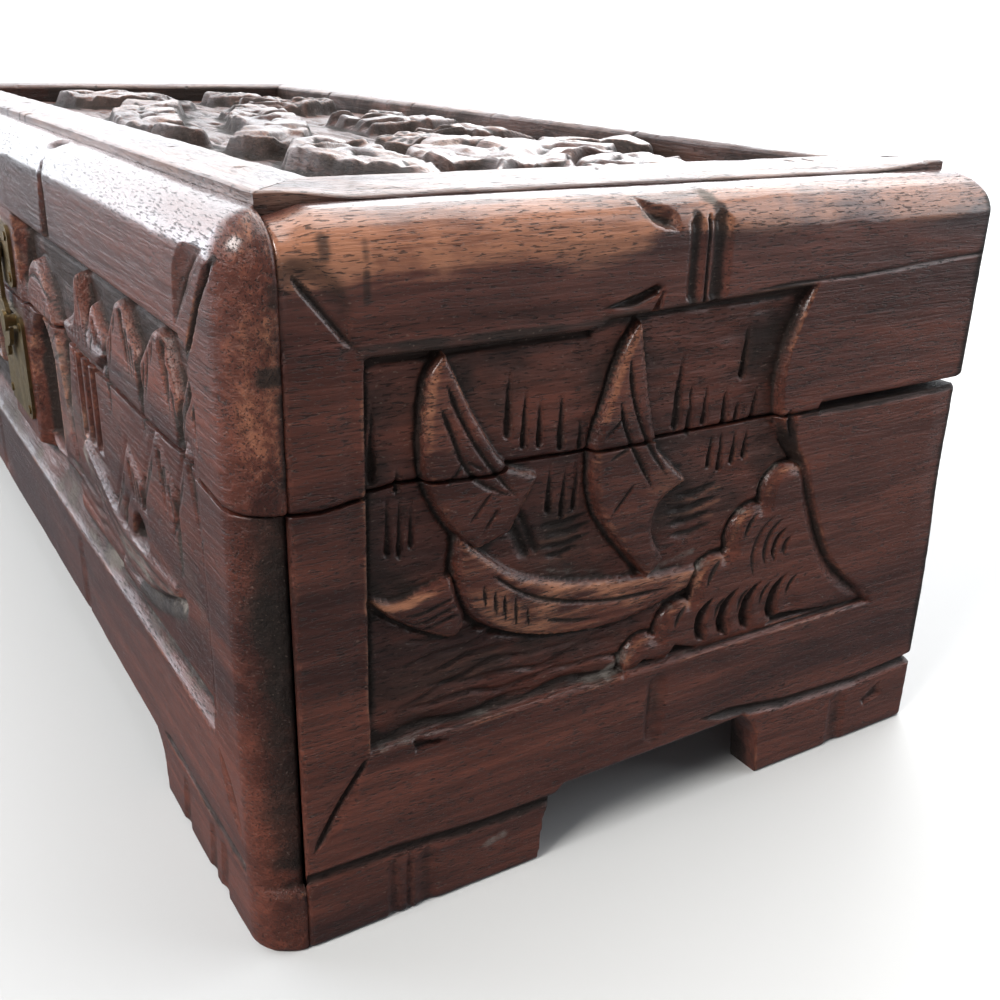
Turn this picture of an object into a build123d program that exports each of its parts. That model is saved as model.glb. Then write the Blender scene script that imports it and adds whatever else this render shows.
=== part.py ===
from build123d import *
import os
from math import cos, radians, sin, tan

# Carved wooden box for papers and keepsakes: four wall boards below, a framed and carved lid
# above, two butt hinges let into the back edge and a brass swing hook in front. The front boards
# wrap round both front corners as columns; the end boards run past the ends of the back boards.
# X runs along the box, Y from front to back and Z up. The origin is on the ground under the
# middle of the box. All sizes are in millimetres.

os.makedirs("parts", exist_ok=True)

# Overall size
LENGTH = 330.0
DEPTH = 150.0
HEIGHT = 120.0

# Wall boards
BOARD = 7.5
SPLIT_Z = 77.4
SPLIT_GAP = 0.5
RAIL_TOP_Z = 118.0
CORNER_R = 6.8
RAIL_R = 7.0
BACK_ARRIS_R = 1.6
WORN_STEP = 1.2
WORN_STEP_START = 35.0

# Feet and the cut-outs between them
END_FOOT_FRONT = 23.0
END_FOOT_BACK = 30.3
END_ARCH_Z = 14.5
LONG_FOOT = 53.0
LONG_ARCH_Z = 12.3
FOOT_COVE = 5.0
FOOT_GROOVE_Z = 14.4
FOOT_GROOVE_HALF = 1.3
FOOT_GROOVE_DEPTH = 1.0
FOOT_LEDGE_Z = 11.5
COLUMN_SETBACK = 1.1

# Bottom board, held in a groove in the walls
BOTTOM_Z = 18.0
BOTTOM_THICK = 4.0
GROOVE_DEPTH = 3.0

# Carved fields: the frame left round them and how deep they go
END_FIELD_LEFT = -56.2
FIELD_LOW_Z = 33.6
FIELD_HIGH_Z = 98.0
END_FIELD_DEPTH = 2.4
LONG_BORDER = 18.5
FRONT_FIELD_DEPTH = 4.0
BACK_FIELD_DEPTH = 2.4
SKIN = 0.4
FAR_LEVEL = -2.4
MIDDLE_LEVEL = -1.2
PATCH_SIDES = 10
TUFT_HALF = 4.4

# Lid top: raised frame of four mitred mouldings round a carved panel
MOULDING_WIDTH = 15.0
MOULDING_CROWN = 0.8
CEILING_Z = 110.0
PANEL_TONGUE = 3.0
PANEL_THICK = 4.0

# Tree tops on the lid: centre, half sizes and height; halls on the lid: centre and half width
TREE_TOPS = ((-118, 26, 13, 9, 4.6), (-46, 6, 12, 7, 4.6), (64, 4, 9, 7, 4.8), (-98, -2, 9, 6, 4.4))
HALLS_ON_TOP = ((-78, 28, 16), (0, 30, 20), (48, 27, 13))
HALL_RISE = 4.9

# Butt hinges
HINGE_X = 95.0
HINGE_LENGTH = 32.0
AXIS_Y = DEPTH / 2 - 1.5
AXIS_Z = SPLIT_Z
KNUCKLE_R = 2.0
KNUCKLE_MID = 10.4
KNUCKLE_GAP = 0.3
BARREL_SIDES = 20
PIN_R = 0.9
PIN_CLEARANCE = 0.05
LEAF_THICK = 1.0
LEAF_REACH = 5.3
BACK_BEVEL = 52.5
SCREW_SPACING = 11.0
SCREW_LINE = 3.3
SCREW_HEAD_R = 1.3
SCREW_SHANK_R = 0.6
SCREW_LENGTH = 5.0

# Brass catch in the middle of the front
BOSS_HALF = 16.0
BOSS_LOW_Z = 42.0
PLATE_THICK = 0.8
LID_PLATE = (22.0, 15.0)
LID_PLATE_Z = 87.5
BASE_PLATE = (28.0, 26.0)
BASE_PLATE_Z = 60.5
PLATE_CORNER_R = 3.0
NAIL_HEAD_R = 1.1
NAIL_HEAD_HEIGHT = 0.4
NAIL_SHANK_R = 0.5
FASTENER_SIDES = 8
NAIL_LENGTH = 5.0
NAIL_INSET = 2.6
HOOK_PIVOT_Z = 87.5
HOOK_THICK = 1.0
HOOK_CLEAR = 0.3
HOOK_EYE_R = 3.6
HOOK_NECK = 4.4
HOOK_THROW_R = 17.0
HOOK_THROW_ANGLE = 24.0
HOOK_HEAD_R = 6.2
HOOK_TAB_R = 2.2
RIVET_R = 1.4
RIVET_CLEARANCE = 0.06
RIVET_HEAD_R = 2.8
STUD_R = 1.5
STUD_HEAD_R = 2.6
STUD_HEAD_HEIGHT = 0.8
STUD_ROOT = 4.5

# Worked out from the sizes above
HALF_LENGTH = LENGTH / 2
HALF_DEPTH = DEPTH / 2
INNER_X = HALF_LENGTH - BOARD
INNER_Y = HALF_DEPTH - BOARD
BASE_TOP_Z = SPLIT_Z - SPLIT_GAP / 2
LID_LOW_Z = SPLIT_Z + SPLIT_GAP / 2
PANEL_TOP_Z = CEILING_Z + PANEL_THICK
OVERRUN = 5.0

# Each wall is drawn face-on: x to the right as seen from outside, y up, z outwards.
FRONT = Plane(origin=(0, -HALF_DEPTH, 0), x_dir=(1, 0, 0), z_dir=(0, -1, 0))
BACK = Plane(origin=(0, HALF_DEPTH, 0), x_dir=(-1, 0, 0), z_dir=(0, 1, 0))
RIGHT = Plane(origin=(HALF_LENGTH, 0, 0), x_dir=(0, 1, 0), z_dir=(1, 0, 0))


def closed(*edges):
    """A flat face inside a closed run of lines and curves."""
    run = edges[0]
    for edge in edges[1:]:
        run = run + edge
    return make_face(run)


def flat_shape(*points):
    """A flat face inside straight lines."""
    return closed(Polyline(*points, close=True))


def round_patch(x, y, half_x, half_y):
    """A rounded form with few sides, as a gouge leaves it."""
    return Pos(x, y) * scale(RegularPolygon(1.0, PATCH_SIDES), by=(half_x, half_y, 1))


def bar(x0, x1, y0, y1, z0, z1):
    """A straight bar between two corners."""
    return Pos(x0, y0, z0) * Box(x1 - x0, y1 - y0, z1 - z0, align=Align.MIN)


def rod(x, y, z, radius, height):
    """A round rod standing on the drawing plane."""
    return Pos(x, y, z) * Cylinder(radius, height, align=(Align.CENTER, Align.CENTER, Align.MIN))


def small_rod(x, y, z, radius, height):
    """A thin nail or screw shank, drawn with few sides."""
    return Pos(x, y, z) * extrude(RegularPolygon(radius, FASTENER_SIDES), amount=height)


def raised(face, depth, top):
    """A carved form that stands on the field's floor and reaches to the given level."""
    return Pos(0, 0, -depth) * extrude(face, amount=depth + top)


# Carved forms, in the face-on frame of the wall that they are on

def junk(shift=0.0, flip=1.0):
    """A trading junk with two bat-wing sails, drawn as seen on the end walls."""
    def at(x, y):
        return (shift + flip * x, y)

    hull = flat_shape(
        at(-39.8, 67.3), at(-40.1, 60.8), at(-36.5, 52.4), at(-24.7, 46.6), at(-7.9, 44.6), at(7.6, 47.5),
        at(9.6, 51.0), at(-12.9, 53.6), at(-30.1, 59.3),
    )
    fore_sail = flat_shape(
        at(-42.8, 96.9), at(-46.1, 84.7), at(-45.3, 77.0), at(-41.5, 69.8), at(-36.7, 65.1),
        at(-31.0, 66.8), at(-26.0, 75.2), at(-31.3, 77.4), at(-38.2, 87.6),
    )
    main_sail = flat_shape(
        at(-7.3, 97.6), at(-12.8, 86.1), at(-15.1, 76.3), at(-12.7, 65.3), at(-2.0, 52.1), at(1.1, 54.9),
        at(-1.9, 62.6), at(4.7, 69.1), at(-2.1, 75.5),
    )
    return [hull, fore_sail, main_sail]


def rocks(shift=0.0, flip=1.0):
    """A lobed rock standing on the lower rail: five round lobes down its slope."""
    lobes = ((28.5, 62.3, 5.2), (21.0, 55.3, 5.0), (13.3, 46.8, 4.9), (5.5, 39.8, 4.9))
    shape = flat_shape(
        (shift + flip * -6.0, FIELD_LOW_Z),
        (shift + flip * 2.0, 42.0),
        (shift + flip * 26.0, 66.0),
        (shift + flip * 33.0, 66.0),
        (shift + flip * 36.6, 58.5),
        (shift + flip * 45.6, 42.6),
        (shift + flip * 57.0, FIELD_LOW_Z),
    )
    for x, y, radius in lobes:
        shape = shape + round_patch(shift + flip * x, y, radius, radius)
    return shape


def end_field():
    """The sunk field of an end wall, with the plain shore left standing on its right."""
    return flat_shape(
        (30.8, 100.2),
        (27.0, 92.3),
        (25.4, 84.0),
        (27.2, 74.8),
        (33.0, 67.1),
        (37.0, 58.0),
        (43.7, 45.3),
        (59.0, FIELD_LOW_Z),
        (END_FIELD_LEFT, FIELD_LOW_Z),
        (END_FIELD_LEFT, FIELD_HIGH_Z),
    )


def end_carving():
    """What is cut out of an end wall: the field without its boat and rocks."""
    cut = raised(end_field(), END_FIELD_DEPTH, OVERRUN)
    for face in junk():
        cut -= raised(face, END_FIELD_DEPTH, -SKIN)
    cut -= raised(rocks(), END_FIELD_DEPTH, -SKIN)
    return cut


def long_field(depth):
    """The sunk field of a long wall."""
    edge = HALF_LENGTH - LONG_BORDER
    return bar(-edge, edge, FIELD_LOW_Z, FIELD_HIGH_Z, -depth, OVERRUN)


def ridge(*points):
    """Hills: a jagged skyline standing on the lower rail."""
    first, last = points[0][0], points[-1][0]
    return flat_shape((first, FIELD_LOW_Z), *points, (last, FIELD_LOW_Z))


def pavilion(x, low, half, high):
    """A small building with an upswept roof."""
    eave = half + 5.0
    wall_top = low + 0.6 * (high - low)
    roof = flat_shape(
        (x - eave, wall_top + 1.8), (x - 0.45 * half, wall_top + 4.2), (x, high),
        (x + 0.45 * half, wall_top + 4.2), (x + eave, wall_top + 1.8), (x + half, wall_top - 1.2),
        (x - half, wall_top - 1.2),
    )
    hall = Pos(x, (low + wall_top) / 2) * Rectangle(1.7 * half, wall_top - low)
    return roof + hall


def bridge(x, low, half, high):
    """A humped bridge with one tall round arch."""
    rise = high - low
    radius = half / 2
    springing = 0.45 * rise
    shoulder = low + 0.72 * rise
    hump = flat_shape(
        (x - half, low), (x - 0.62 * half, shoulder), (x, high), (x + 0.62 * half, shoulder), (x + half, low),
    )
    opening = round_patch(x, low + springing, radius, radius)
    foot = Pos(x, low + springing / 2) * Rectangle(2 * radius, springing)
    return hump - opening - foot


def sampan(x, low, half):
    """A low open boat with a rising bow and stern."""
    return flat_shape(
        (x - half, low + 13.0), (x - 0.6 * half, low + 4.4), (x - 0.1 * half, low + 0.2),
        (x + 0.45 * half, low + 1.4), (x + half, low + 7.5), (x + 0.96 * half, low + 9.5),
        (x + 0.4 * half, low + 8.0), (x - 0.2 * half, low + 8.2), (x - 0.94 * half, low + 16.5),
    )


def pine(x, low, high):
    """A leaning pine: a trunk with three flat tufts."""
    trunk = Pos(x, (low + high) / 2) * Rotation(0, 0, 8) * Rectangle(3.0, high - low)
    tree = trunk
    for dx, y, half in ((-5.0, high - 12.0, 9.0), (6.0, high - 7.0, 8.0), (0.0, high - 1.5, 9.5)):
        tree = tree + round_patch(x + dx, y, half, TUFT_HALF)
    return tree


def front_carving():
    """What is cut out of the front: a deep harbour scene and the plain boss for the catch."""
    cut = long_field(FRONT_FIELD_DEPTH)
    boss = bar(-BOSS_HALF, BOSS_HALF, BOSS_LOW_Z, FIELD_HIGH_Z + 1, -FRONT_FIELD_DEPTH, 2 * OVERRUN)
    far = [
        ridge((58, 62), (76, 84), (88, 79), (101, 94.4), (115, 85), (129, 95.3), (146.5, 80)),
        ridge((-146.5, 76), (-128, 92), (-112, 80), (-96, 90), (-80, 66)),
    ]
    middle = [
        bridge(29.0, 46.0, 25.0, 90.0),
        pavilion(72.0, 60.0, 12.0, 95.0),
        pavilion(-52.0, 52.0, 17.0, 94.0),
        pine(-92.0, 44.0, 92.0),
    ]
    near = [
        sampan(97.0, 46.0, 35.0),
        sampan(-112.0, 42.0, 28.0),
    ]
    for faces, level in ((far, FAR_LEVEL), (middle, MIDDLE_LEVEL), (near, -SKIN)):
        for face in faces:
            cut -= raised(face, FRONT_FIELD_DEPTH, level)
    return cut - boss


def back_carving():
    """What is cut out of the back: two junks sailing towards a pair of rocks."""
    cut = long_field(BACK_FIELD_DEPTH)
    for face in junk(-64.0) + junk(64.0, -1.0):
        cut -= raised(face, BACK_FIELD_DEPTH, -SKIN)
    for shape in (rocks(-26.0, -1.0), rocks(26.0)):
        cut -= raised(shape, BACK_FIELD_DEPTH, -SKIN)
    return cut


# Wall boards

def bamboo_gouge(x, low, high):
    """An upright hollow that marks a joint in the bamboo-like frame."""
    radius = 4.0
    depth = 0.8
    return Pos(x, low, radius - depth) * Rotation(-90, 0, 0) * Cylinder(
        radius, high - low, align=(Align.CENTER, Align.CENTER, Align.MIN))


def foot_groove(x0, x1):
    """The V cut between a foot and the rail above it."""
    section = Plane.YZ * closed(
        Polyline(
            (FOOT_GROOVE_Z - FOOT_GROOVE_HALF, 0.01),
            (FOOT_GROOVE_Z, -FOOT_GROOVE_DEPTH),
            (FOOT_GROOVE_Z + FOOT_GROOVE_HALF, 0.01),
            close=True,
        )
    )
    return Pos(x0, 0, 0) * extrude(section, amount=x1 - x0)


def arch(left, right, high):
    """The cut-out between two feet, with coved ends."""
    outline = closed(
        ThreePointArc((left, -1.0), (left + 0.35 * FOOT_COVE, 0.55 * high), (left + FOOT_COVE, high)),
        Line((left + FOOT_COVE, high), (right - FOOT_COVE, high)),
        ThreePointArc((right - FOOT_COVE, high), (right - 0.35 * FOOT_COVE, 0.55 * high), (right, -1.0)),
        Line((right, -1.0), (left, -1.0)),
    )
    return Pos(0, 0, -BOARD - 1) * extrude(outline, amount=BOARD + 2)


def lid_long_board(plane, half, carving):
    """A long lid board with a rounded top. The full-length one is rounded at its ends too."""
    blank = bar(-half, half, LID_LOW_Z, RAIL_TOP_Z, -BOARD, 0)
    top = blank.edges().group_by(Axis.Y)[-1]
    rounded = top.filter_by(Axis.X).group_by(Axis.Z)[-1]
    if half == HALF_LENGTH:
        rounded += top.filter_by(Axis.Z) + blank.edges().filter_by(Axis.Y).group_by(Axis.Z)[-1]
    board = fillet(rounded, CORNER_R)
    board -= carving
    for x in (-HALF_LENGTH / 3, HALF_LENGTH / 3):
        board -= bamboo_gouge(x, FIELD_HIGH_Z, RAIL_TOP_Z)
    return plane * board


def end_bar(low, high):
    """An end board in the rough, from the front board to the back face."""
    return bar(-INNER_Y, HALF_DEPTH, low, high, -BOARD, 0)


def eased_end(low, high):
    """The same with its far upright arris eased."""
    blank = end_bar(low, high)
    upright = blank.edges().filter_by(Axis.Y).group_by(Axis.X)[-1].group_by(Axis.Z)[-1]
    return fillet(upright, BACK_ARRIS_R)


def lid_end_board():
    """The right end board of the lid, rounded over on top both outwards and to the back."""
    blank = end_bar(LID_LOW_Z, RAIL_TOP_Z)
    top = blank.edges().group_by(Axis.Y)[-1]
    outwards = fillet(top.filter_by(Axis.X).group_by(Axis.Z)[-1], RAIL_R)
    backwards = fillet(top.filter_by(Axis.Z).group_by(Axis.X)[-1], CORNER_R)
    board = eased_end(LID_LOW_Z, RAIL_TOP_Z) & outwards & backwards
    board -= end_carving()
    board -= bar(WORN_STEP_START, HALF_DEPTH + 1, LID_LOW_Z, LID_LOW_Z + WORN_STEP, -BOARD, 1)
    for x in (2.4, 7.8):
        board -= bamboo_gouge(x, FIELD_HIGH_Z + 1.5, RAIL_TOP_Z)
    return RIGHT * board - back_bevel(1)


def corner_hollow(side):
    """The rounded column above a foot, set back from the lid's corner."""
    reach = BOARD + 2
    centre = HALF_LENGTH - BOARD
    block = bar(0, reach, FOOT_LEDGE_Z, BASE_TOP_Z + 1, 0, reach)
    core = Pos(0, FOOT_LEDGE_Z - 1, 0) * Rotation(-90, 0, 0) * Cylinder(
        BOARD - COLUMN_SETBACK, BASE_TOP_Z, align=(Align.CENTER, Align.CENTER, Align.MIN))
    shell = Pos(centre, 0, -BOARD) * (block - core)
    return shell if side > 0 else mirror(shell, about=Plane.YZ)


def base_long_board(plane, half, carving):
    """A long base board with its two feet and half of the carving. The front's ends are columns."""
    board = bar(-half, half, 0, BASE_TOP_Z, -BOARD, 0)
    if half == HALF_LENGTH:
        board = fillet(board.edges().filter_by(Axis.Y).group_by(Axis.Z)[-1], CORNER_R)
        board -= corner_hollow(-1) + corner_hollow(1)
    reach = HALF_LENGTH - LONG_FOOT
    board -= arch(-reach, reach, LONG_ARCH_Z)
    board -= carving
    for side in (-1, 1):
        inner = side * (reach + 1)
        outer = side * INNER_X
        board -= foot_groove(min(inner, outer), max(inner, outer))
        board -= bamboo_gouge(side * HALF_LENGTH / 3, LONG_ARCH_Z, FIELD_LOW_Z)
    return plane * board


def base_end_board():
    """The right end board of the base with its two feet and its half of the carving."""
    board = eased_end(0, BASE_TOP_Z)
    board -= arch(-END_FOOT_FRONT, END_FOOT_BACK, END_ARCH_Z)
    board -= end_carving()
    board -= foot_groove(-INNER_Y + 2, -END_FOOT_FRONT + FOOT_COVE)
    board -= foot_groove(END_FOOT_BACK - FOOT_COVE, HALF_DEPTH + 1)
    board -= bamboo_gouge(1.6, END_ARCH_Z, FIELD_LOW_Z)
    return RIGHT * board - back_bevel(-1)


def back_bevel(sign):
    """The slope on the back edge that lets the lid lean back until the slopes meet."""
    run = HALF_DEPTH - AXIS_Y + 1.0
    drop = run * tan(radians(BACK_BEVEL))
    edge = SPLIT_Z + sign * SPLIT_GAP / 2
    section = Plane.YZ * closed(
        Polyline((AXIS_Y, edge), (AXIS_Y + run, edge), (AXIS_Y + run, edge + sign * drop), close=True)
    )
    return Pos(-HALF_LENGTH - 1, 0, 0) * extrude(section, amount=LENGTH + 2)


# Hinges

def along_axis(x0, x1, radius):
    """A cylinder on the hinge line."""
    return Pos(x0, AXIS_Y, AXIS_Z) * Rotation(0, 90, 0) * Cylinder(
        radius, x1 - x0, align=(Align.CENTER, Align.CENTER, Align.MIN))


def barrel(x0, x1):
    """A piece of a hinge barrel, drawn with few sides."""
    ring = RegularPolygon(KNUCKLE_R, BARREL_SIDES)
    return Pos(x0, AXIS_Y, AXIS_Z) * Rotation(0, 90, 0) * extrude(ring, amount=x1 - x0)


def knuckles(x, which):
    """The barrel pieces of one leaf: the middle one on the lid, the outer two on the base."""
    half = HINGE_LENGTH / 2
    mid = KNUCKLE_MID / 2
    if which == "lid":
        return barrel(x - mid, x + mid)
    return barrel(x - half, x - mid - KNUCKLE_GAP) + barrel(x + mid + KNUCKLE_GAP, x + half)


def knuckle_room(x, which):
    """Space that a leaf leaves round the other leaf's barrel."""
    half = HINGE_LENGTH / 2
    mid = KNUCKLE_MID / 2
    radius = KNUCKLE_R + KNUCKLE_GAP
    if which == "base":
        return along_axis(x - mid - KNUCKLE_GAP, x + mid + KNUCKLE_GAP, radius)
    return along_axis(x - half - 1, x - mid, radius) + along_axis(x + mid, x + half + 1, radius)


def leaf_blank(x, which):
    """The flat of one leaf, flush with the edge that it is let into."""
    low = BASE_TOP_Z - LEAF_THICK if which == "base" else LID_LOW_Z
    half = HINGE_LENGTH / 2
    return bar(x - half, x + half, AXIS_Y - LEAF_REACH, AXIS_Y, low, low + LEAF_THICK)


def hinge_screws(x, which):
    """The three countersunk screws of one leaf."""
    sign = -1 if which == "base" else 1
    face = BASE_TOP_Z if which == "base" else LID_LOW_Z
    y = AXIS_Y - SCREW_LINE
    screws = []
    for step in (-1, 0, 1):
        head = loft([
            Pos(0, 0, -LEAF_THICK) * RegularPolygon(SCREW_SHANK_R, FASTENER_SIDES),
            RegularPolygon(SCREW_HEAD_R, FASTENER_SIDES),
        ])
        screw = head + small_rod(0, 0, -SCREW_LENGTH, SCREW_SHANK_R, SCREW_LENGTH - LEAF_THICK)
        if sign > 0:
            screw = Rotation(180, 0, 0) * screw
        screws.append(Pos(x + step * SCREW_SPACING, y, face) * screw)
    return screws


def hinge_leaf(x, which):
    """One leaf with its barrel, pin bore and countersinks."""
    leaf = leaf_blank(x, which) - knuckle_room(x, which) + knuckles(x, which)
    leaf -= along_axis(x - HINGE_LENGTH, x + HINGE_LENGTH, PIN_R + PIN_CLEARANCE)
    for screw in hinge_screws(x, which):
        leaf -= screw
    return leaf


def hinge_pin(x):
    """The pin through both leaves."""
    half = HINGE_LENGTH / 2
    return along_axis(x - half, x + half, PIN_R)


def hinge_pocket(x, which):
    """What a back board gives up for one hinge: the leaf's seat and room for the barrel."""
    half = HINGE_LENGTH / 2 + KNUCKLE_GAP
    pocket = leaf_blank(x, which) + along_axis(x - half, x + half, KNUCKLE_R + KNUCKLE_GAP)
    for screw in hinge_screws(x, which):
        pocket += screw
    return pocket


# Lid top

def moulding_section(half_span):
    """The frame moulding's section across Y: crowned top, rebate below for the panel."""
    outer = half_span
    inner = half_span - MOULDING_WIDTH
    rebate = inner + PANEL_TONGUE
    shoulder = HEIGHT - MOULDING_CROWN
    return closed(
        Polyline((inner, shoulder), (inner, PANEL_TOP_Z), (rebate, PANEL_TOP_Z), (rebate, CEILING_Z),
                 (outer, CEILING_Z), (outer, shoulder)),
        ThreePointArc((outer, shoulder), ((outer + inner) / 2, HEIGHT), (inner, shoulder)),
    )


def moulding(half_length, half_span):
    """One mitred moulding, lying along X at the +Y side."""
    section = Plane.YZ * moulding_section(half_span)
    strip = Pos(-half_length, 0, 0) * extrude(section, amount=2 * half_length)
    reach = half_length - MOULDING_WIDTH
    inner = half_span - MOULDING_WIDTH
    plan = closed(Polyline(
        (-half_length, half_span), (half_length, half_span), (reach, inner), (-reach, inner), close=True))
    return strip & (Pos(0, 0, CEILING_Z - 1) * extrude(plan, amount=HEIGHT - CEILING_Z + 2))


def top_reliefs():
    """The carved country on the lid: plan outlines and how high each stands."""
    long_bank = flat_shape(
        (-84, -15), (-66, -9), (-40, -18), (-10, -26), (14, -32), (37, -34), (38, -39), (28, -43), (0, -44),
        (-34, -38), (-64, -29), (-82, -22))
    near_bank = flat_shape(
        (-37, 1), (-14, -12), (14, -16), (40, -27), (51, -34), (63, -30), (60, -21), (42, -11), (16, -2),
        (-10, 5), (-29, 7))
    bluff = flat_shape(
        (63, -23), (76, -30), (90, -35.5), (107, -33.5), (124, -31), (134, -31), (135, -26.5), (118, -21.5),
        (102, -18.5), (80, -14), (66, -16.5))
    gouged_crag = flat_shape(
        (97, -14), (112, -14), (113, -9), (119, -8), (126, -11), (134, -17), (135, -15), (126, -9),
        (122.5, -4), (126, -3), (132, -8), (133, -6), (123, 0), (119, 5), (123, 5), (131, 0), (131, 3),
        (116, 11), (110, 19), (112, 25), (100, 34), (88, 34), (78, 26), (73, 12), (79, -3))
    step = flat_shape((116, 14), (123, 8.5), (132, 6), (142, 6), (142, 20), (131, 27), (121, 34), (115, 27))
    left_crag = flat_shape((-134, -30), (-127, -7), (-108, 3), (-97, -12), (-107, -31))
    far_crag = flat_shape((58, 44), (74, 38), (92, 40), (98, 46), (84, 51), (60, 50.5))
    rocks_on_top = [(long_bank, 4.8), (near_bank, 5.0), (bluff, 5.2), (gouged_crag, 5.2), (step, 4.6),
                    (left_crag, 4.8), (far_crag, 4.8)]
    canopies = []
    for x, y, half_x, half_y, height in TREE_TOPS:
        canopies.append((round_patch(x, y, half_x, half_y), height))
    halls = []
    for x, y, half in HALLS_ON_TOP:
        roof = flat_shape(
            (x - half, y + 3), (x - 0.6 * half, y + 16), (x + 0.6 * half, y + 16), (x + half, y + 3),
            (x + 0.7 * half, y), (x + 0.7 * half, y - 12), (x - 0.7 * half, y - 12), (x - 0.7 * half, y))
        halls.append((roof, HALL_RISE))
    return rocks_on_top + canopies + halls


def lid_panel():
    """The carved panel, held by its edges under the mouldings."""
    half_x = INNER_X - MOULDING_WIDTH
    half_y = INNER_Y - MOULDING_WIDTH
    core = bar(-half_x - PANEL_TONGUE, half_x + PANEL_TONGUE, -half_y - PANEL_TONGUE, half_y + PANEL_TONGUE,
               CEILING_Z, PANEL_TOP_Z)
    sunk = 0.01
    for face, height in top_reliefs():
        core += Pos(0, 0, PANEL_TOP_Z - sunk) * extrude(face, amount=height + sunk)
    return core


# Brass catch

def plate_nail_spots(size, centre_z):
    """The four corners where a catch plate is nailed."""
    half_x = size[0] / 2 - NAIL_INSET
    half_y = size[1] / 2 - NAIL_INSET
    return [(sx * half_x, centre_z + sy * half_y) for sx in (-1, 1) for sy in (-1, 1)]


def catch_plate(size, centre_z):
    """A flat brass plate with rounded corners, face-on."""
    outline = Pos(0, centre_z) * RectangleRounded(size[0], size[1], PLATE_CORNER_R)
    return extrude(outline, amount=PLATE_THICK)


def plate_nails(size, centre_z):
    """Round-headed nails through a plate's corners, face-on."""
    nails = []
    for x, y in plate_nail_spots(size, centre_z):
        shank = small_rod(x, y, PLATE_THICK - NAIL_LENGTH, NAIL_SHANK_R, NAIL_LENGTH)
        nails.append(shank + small_rod(x, y, PLATE_THICK, NAIL_HEAD_R, NAIL_HEAD_HEIGHT))
    return nails


def hook_low():
    """The hook swings clear of the nail heads, not only of the plates."""
    return PLATE_THICK + NAIL_HEAD_HEIGHT + HOOK_CLEAR


def catch_hook():
    """The swing hook, hanging straight down: its slot follows the stud's path round the pivot."""
    eye = Pos(0, HOOK_PIVOT_Z) * Circle(HOOK_EYE_R)
    neck = Pos(0, HOOK_PIVOT_Z - HOOK_THROW_R / 2) * Rectangle(HOOK_NECK, HOOK_THROW_R)
    head = Pos(0.8, HOOK_PIVOT_Z - HOOK_THROW_R) * Circle(HOOK_HEAD_R)
    tab = Pos(-1.2, HOOK_PIVOT_Z - HOOK_THROW_R - HOOK_HEAD_R - 0.8) * Circle(HOOK_TAB_R)
    slot_half = STUD_R + HOOK_CLEAR
    ring = Circle(HOOK_THROW_R + slot_half) - Circle(HOOK_THROW_R - slot_half)
    sector = closed(Polyline((0, 0), (0, -2 * HOOK_THROW_R), (2 * HOOK_THROW_R, -2 * HOOK_THROW_R),
                             (2 * HOOK_THROW_R, -HOOK_THROW_R / 2), close=True))
    slot = (ring & sector) + Pos(0, -HOOK_THROW_R) * Circle(slot_half)
    outline = eye + neck + head + tab - Pos(0, HOOK_PIVOT_Z) * slot
    outline -= Pos(0, HOOK_PIVOT_Z) * Circle(RIVET_R + RIVET_CLEARANCE)
    return Pos(0, 0, hook_low()) * extrude(outline, amount=HOOK_THICK)


def headed_stud(x, y, shank_r, head_r, root):
    """A stud whose head stands just clear of the hook; it is set into the wood behind."""
    head_z = hook_low() + HOOK_THICK + HOOK_CLEAR
    shank = rod(x, y, -root, shank_r, root + head_z)
    return shank + rod(x, y, head_z, head_r, STUD_HEAD_HEIGHT)


def stud_spot():
    """Where the hook's slot ends when the hook is swung home."""
    angle = radians(HOOK_THROW_ANGLE)
    return HOOK_THROW_R * sin(angle), HOOK_PIVOT_Z - HOOK_THROW_R * cos(angle)


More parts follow.
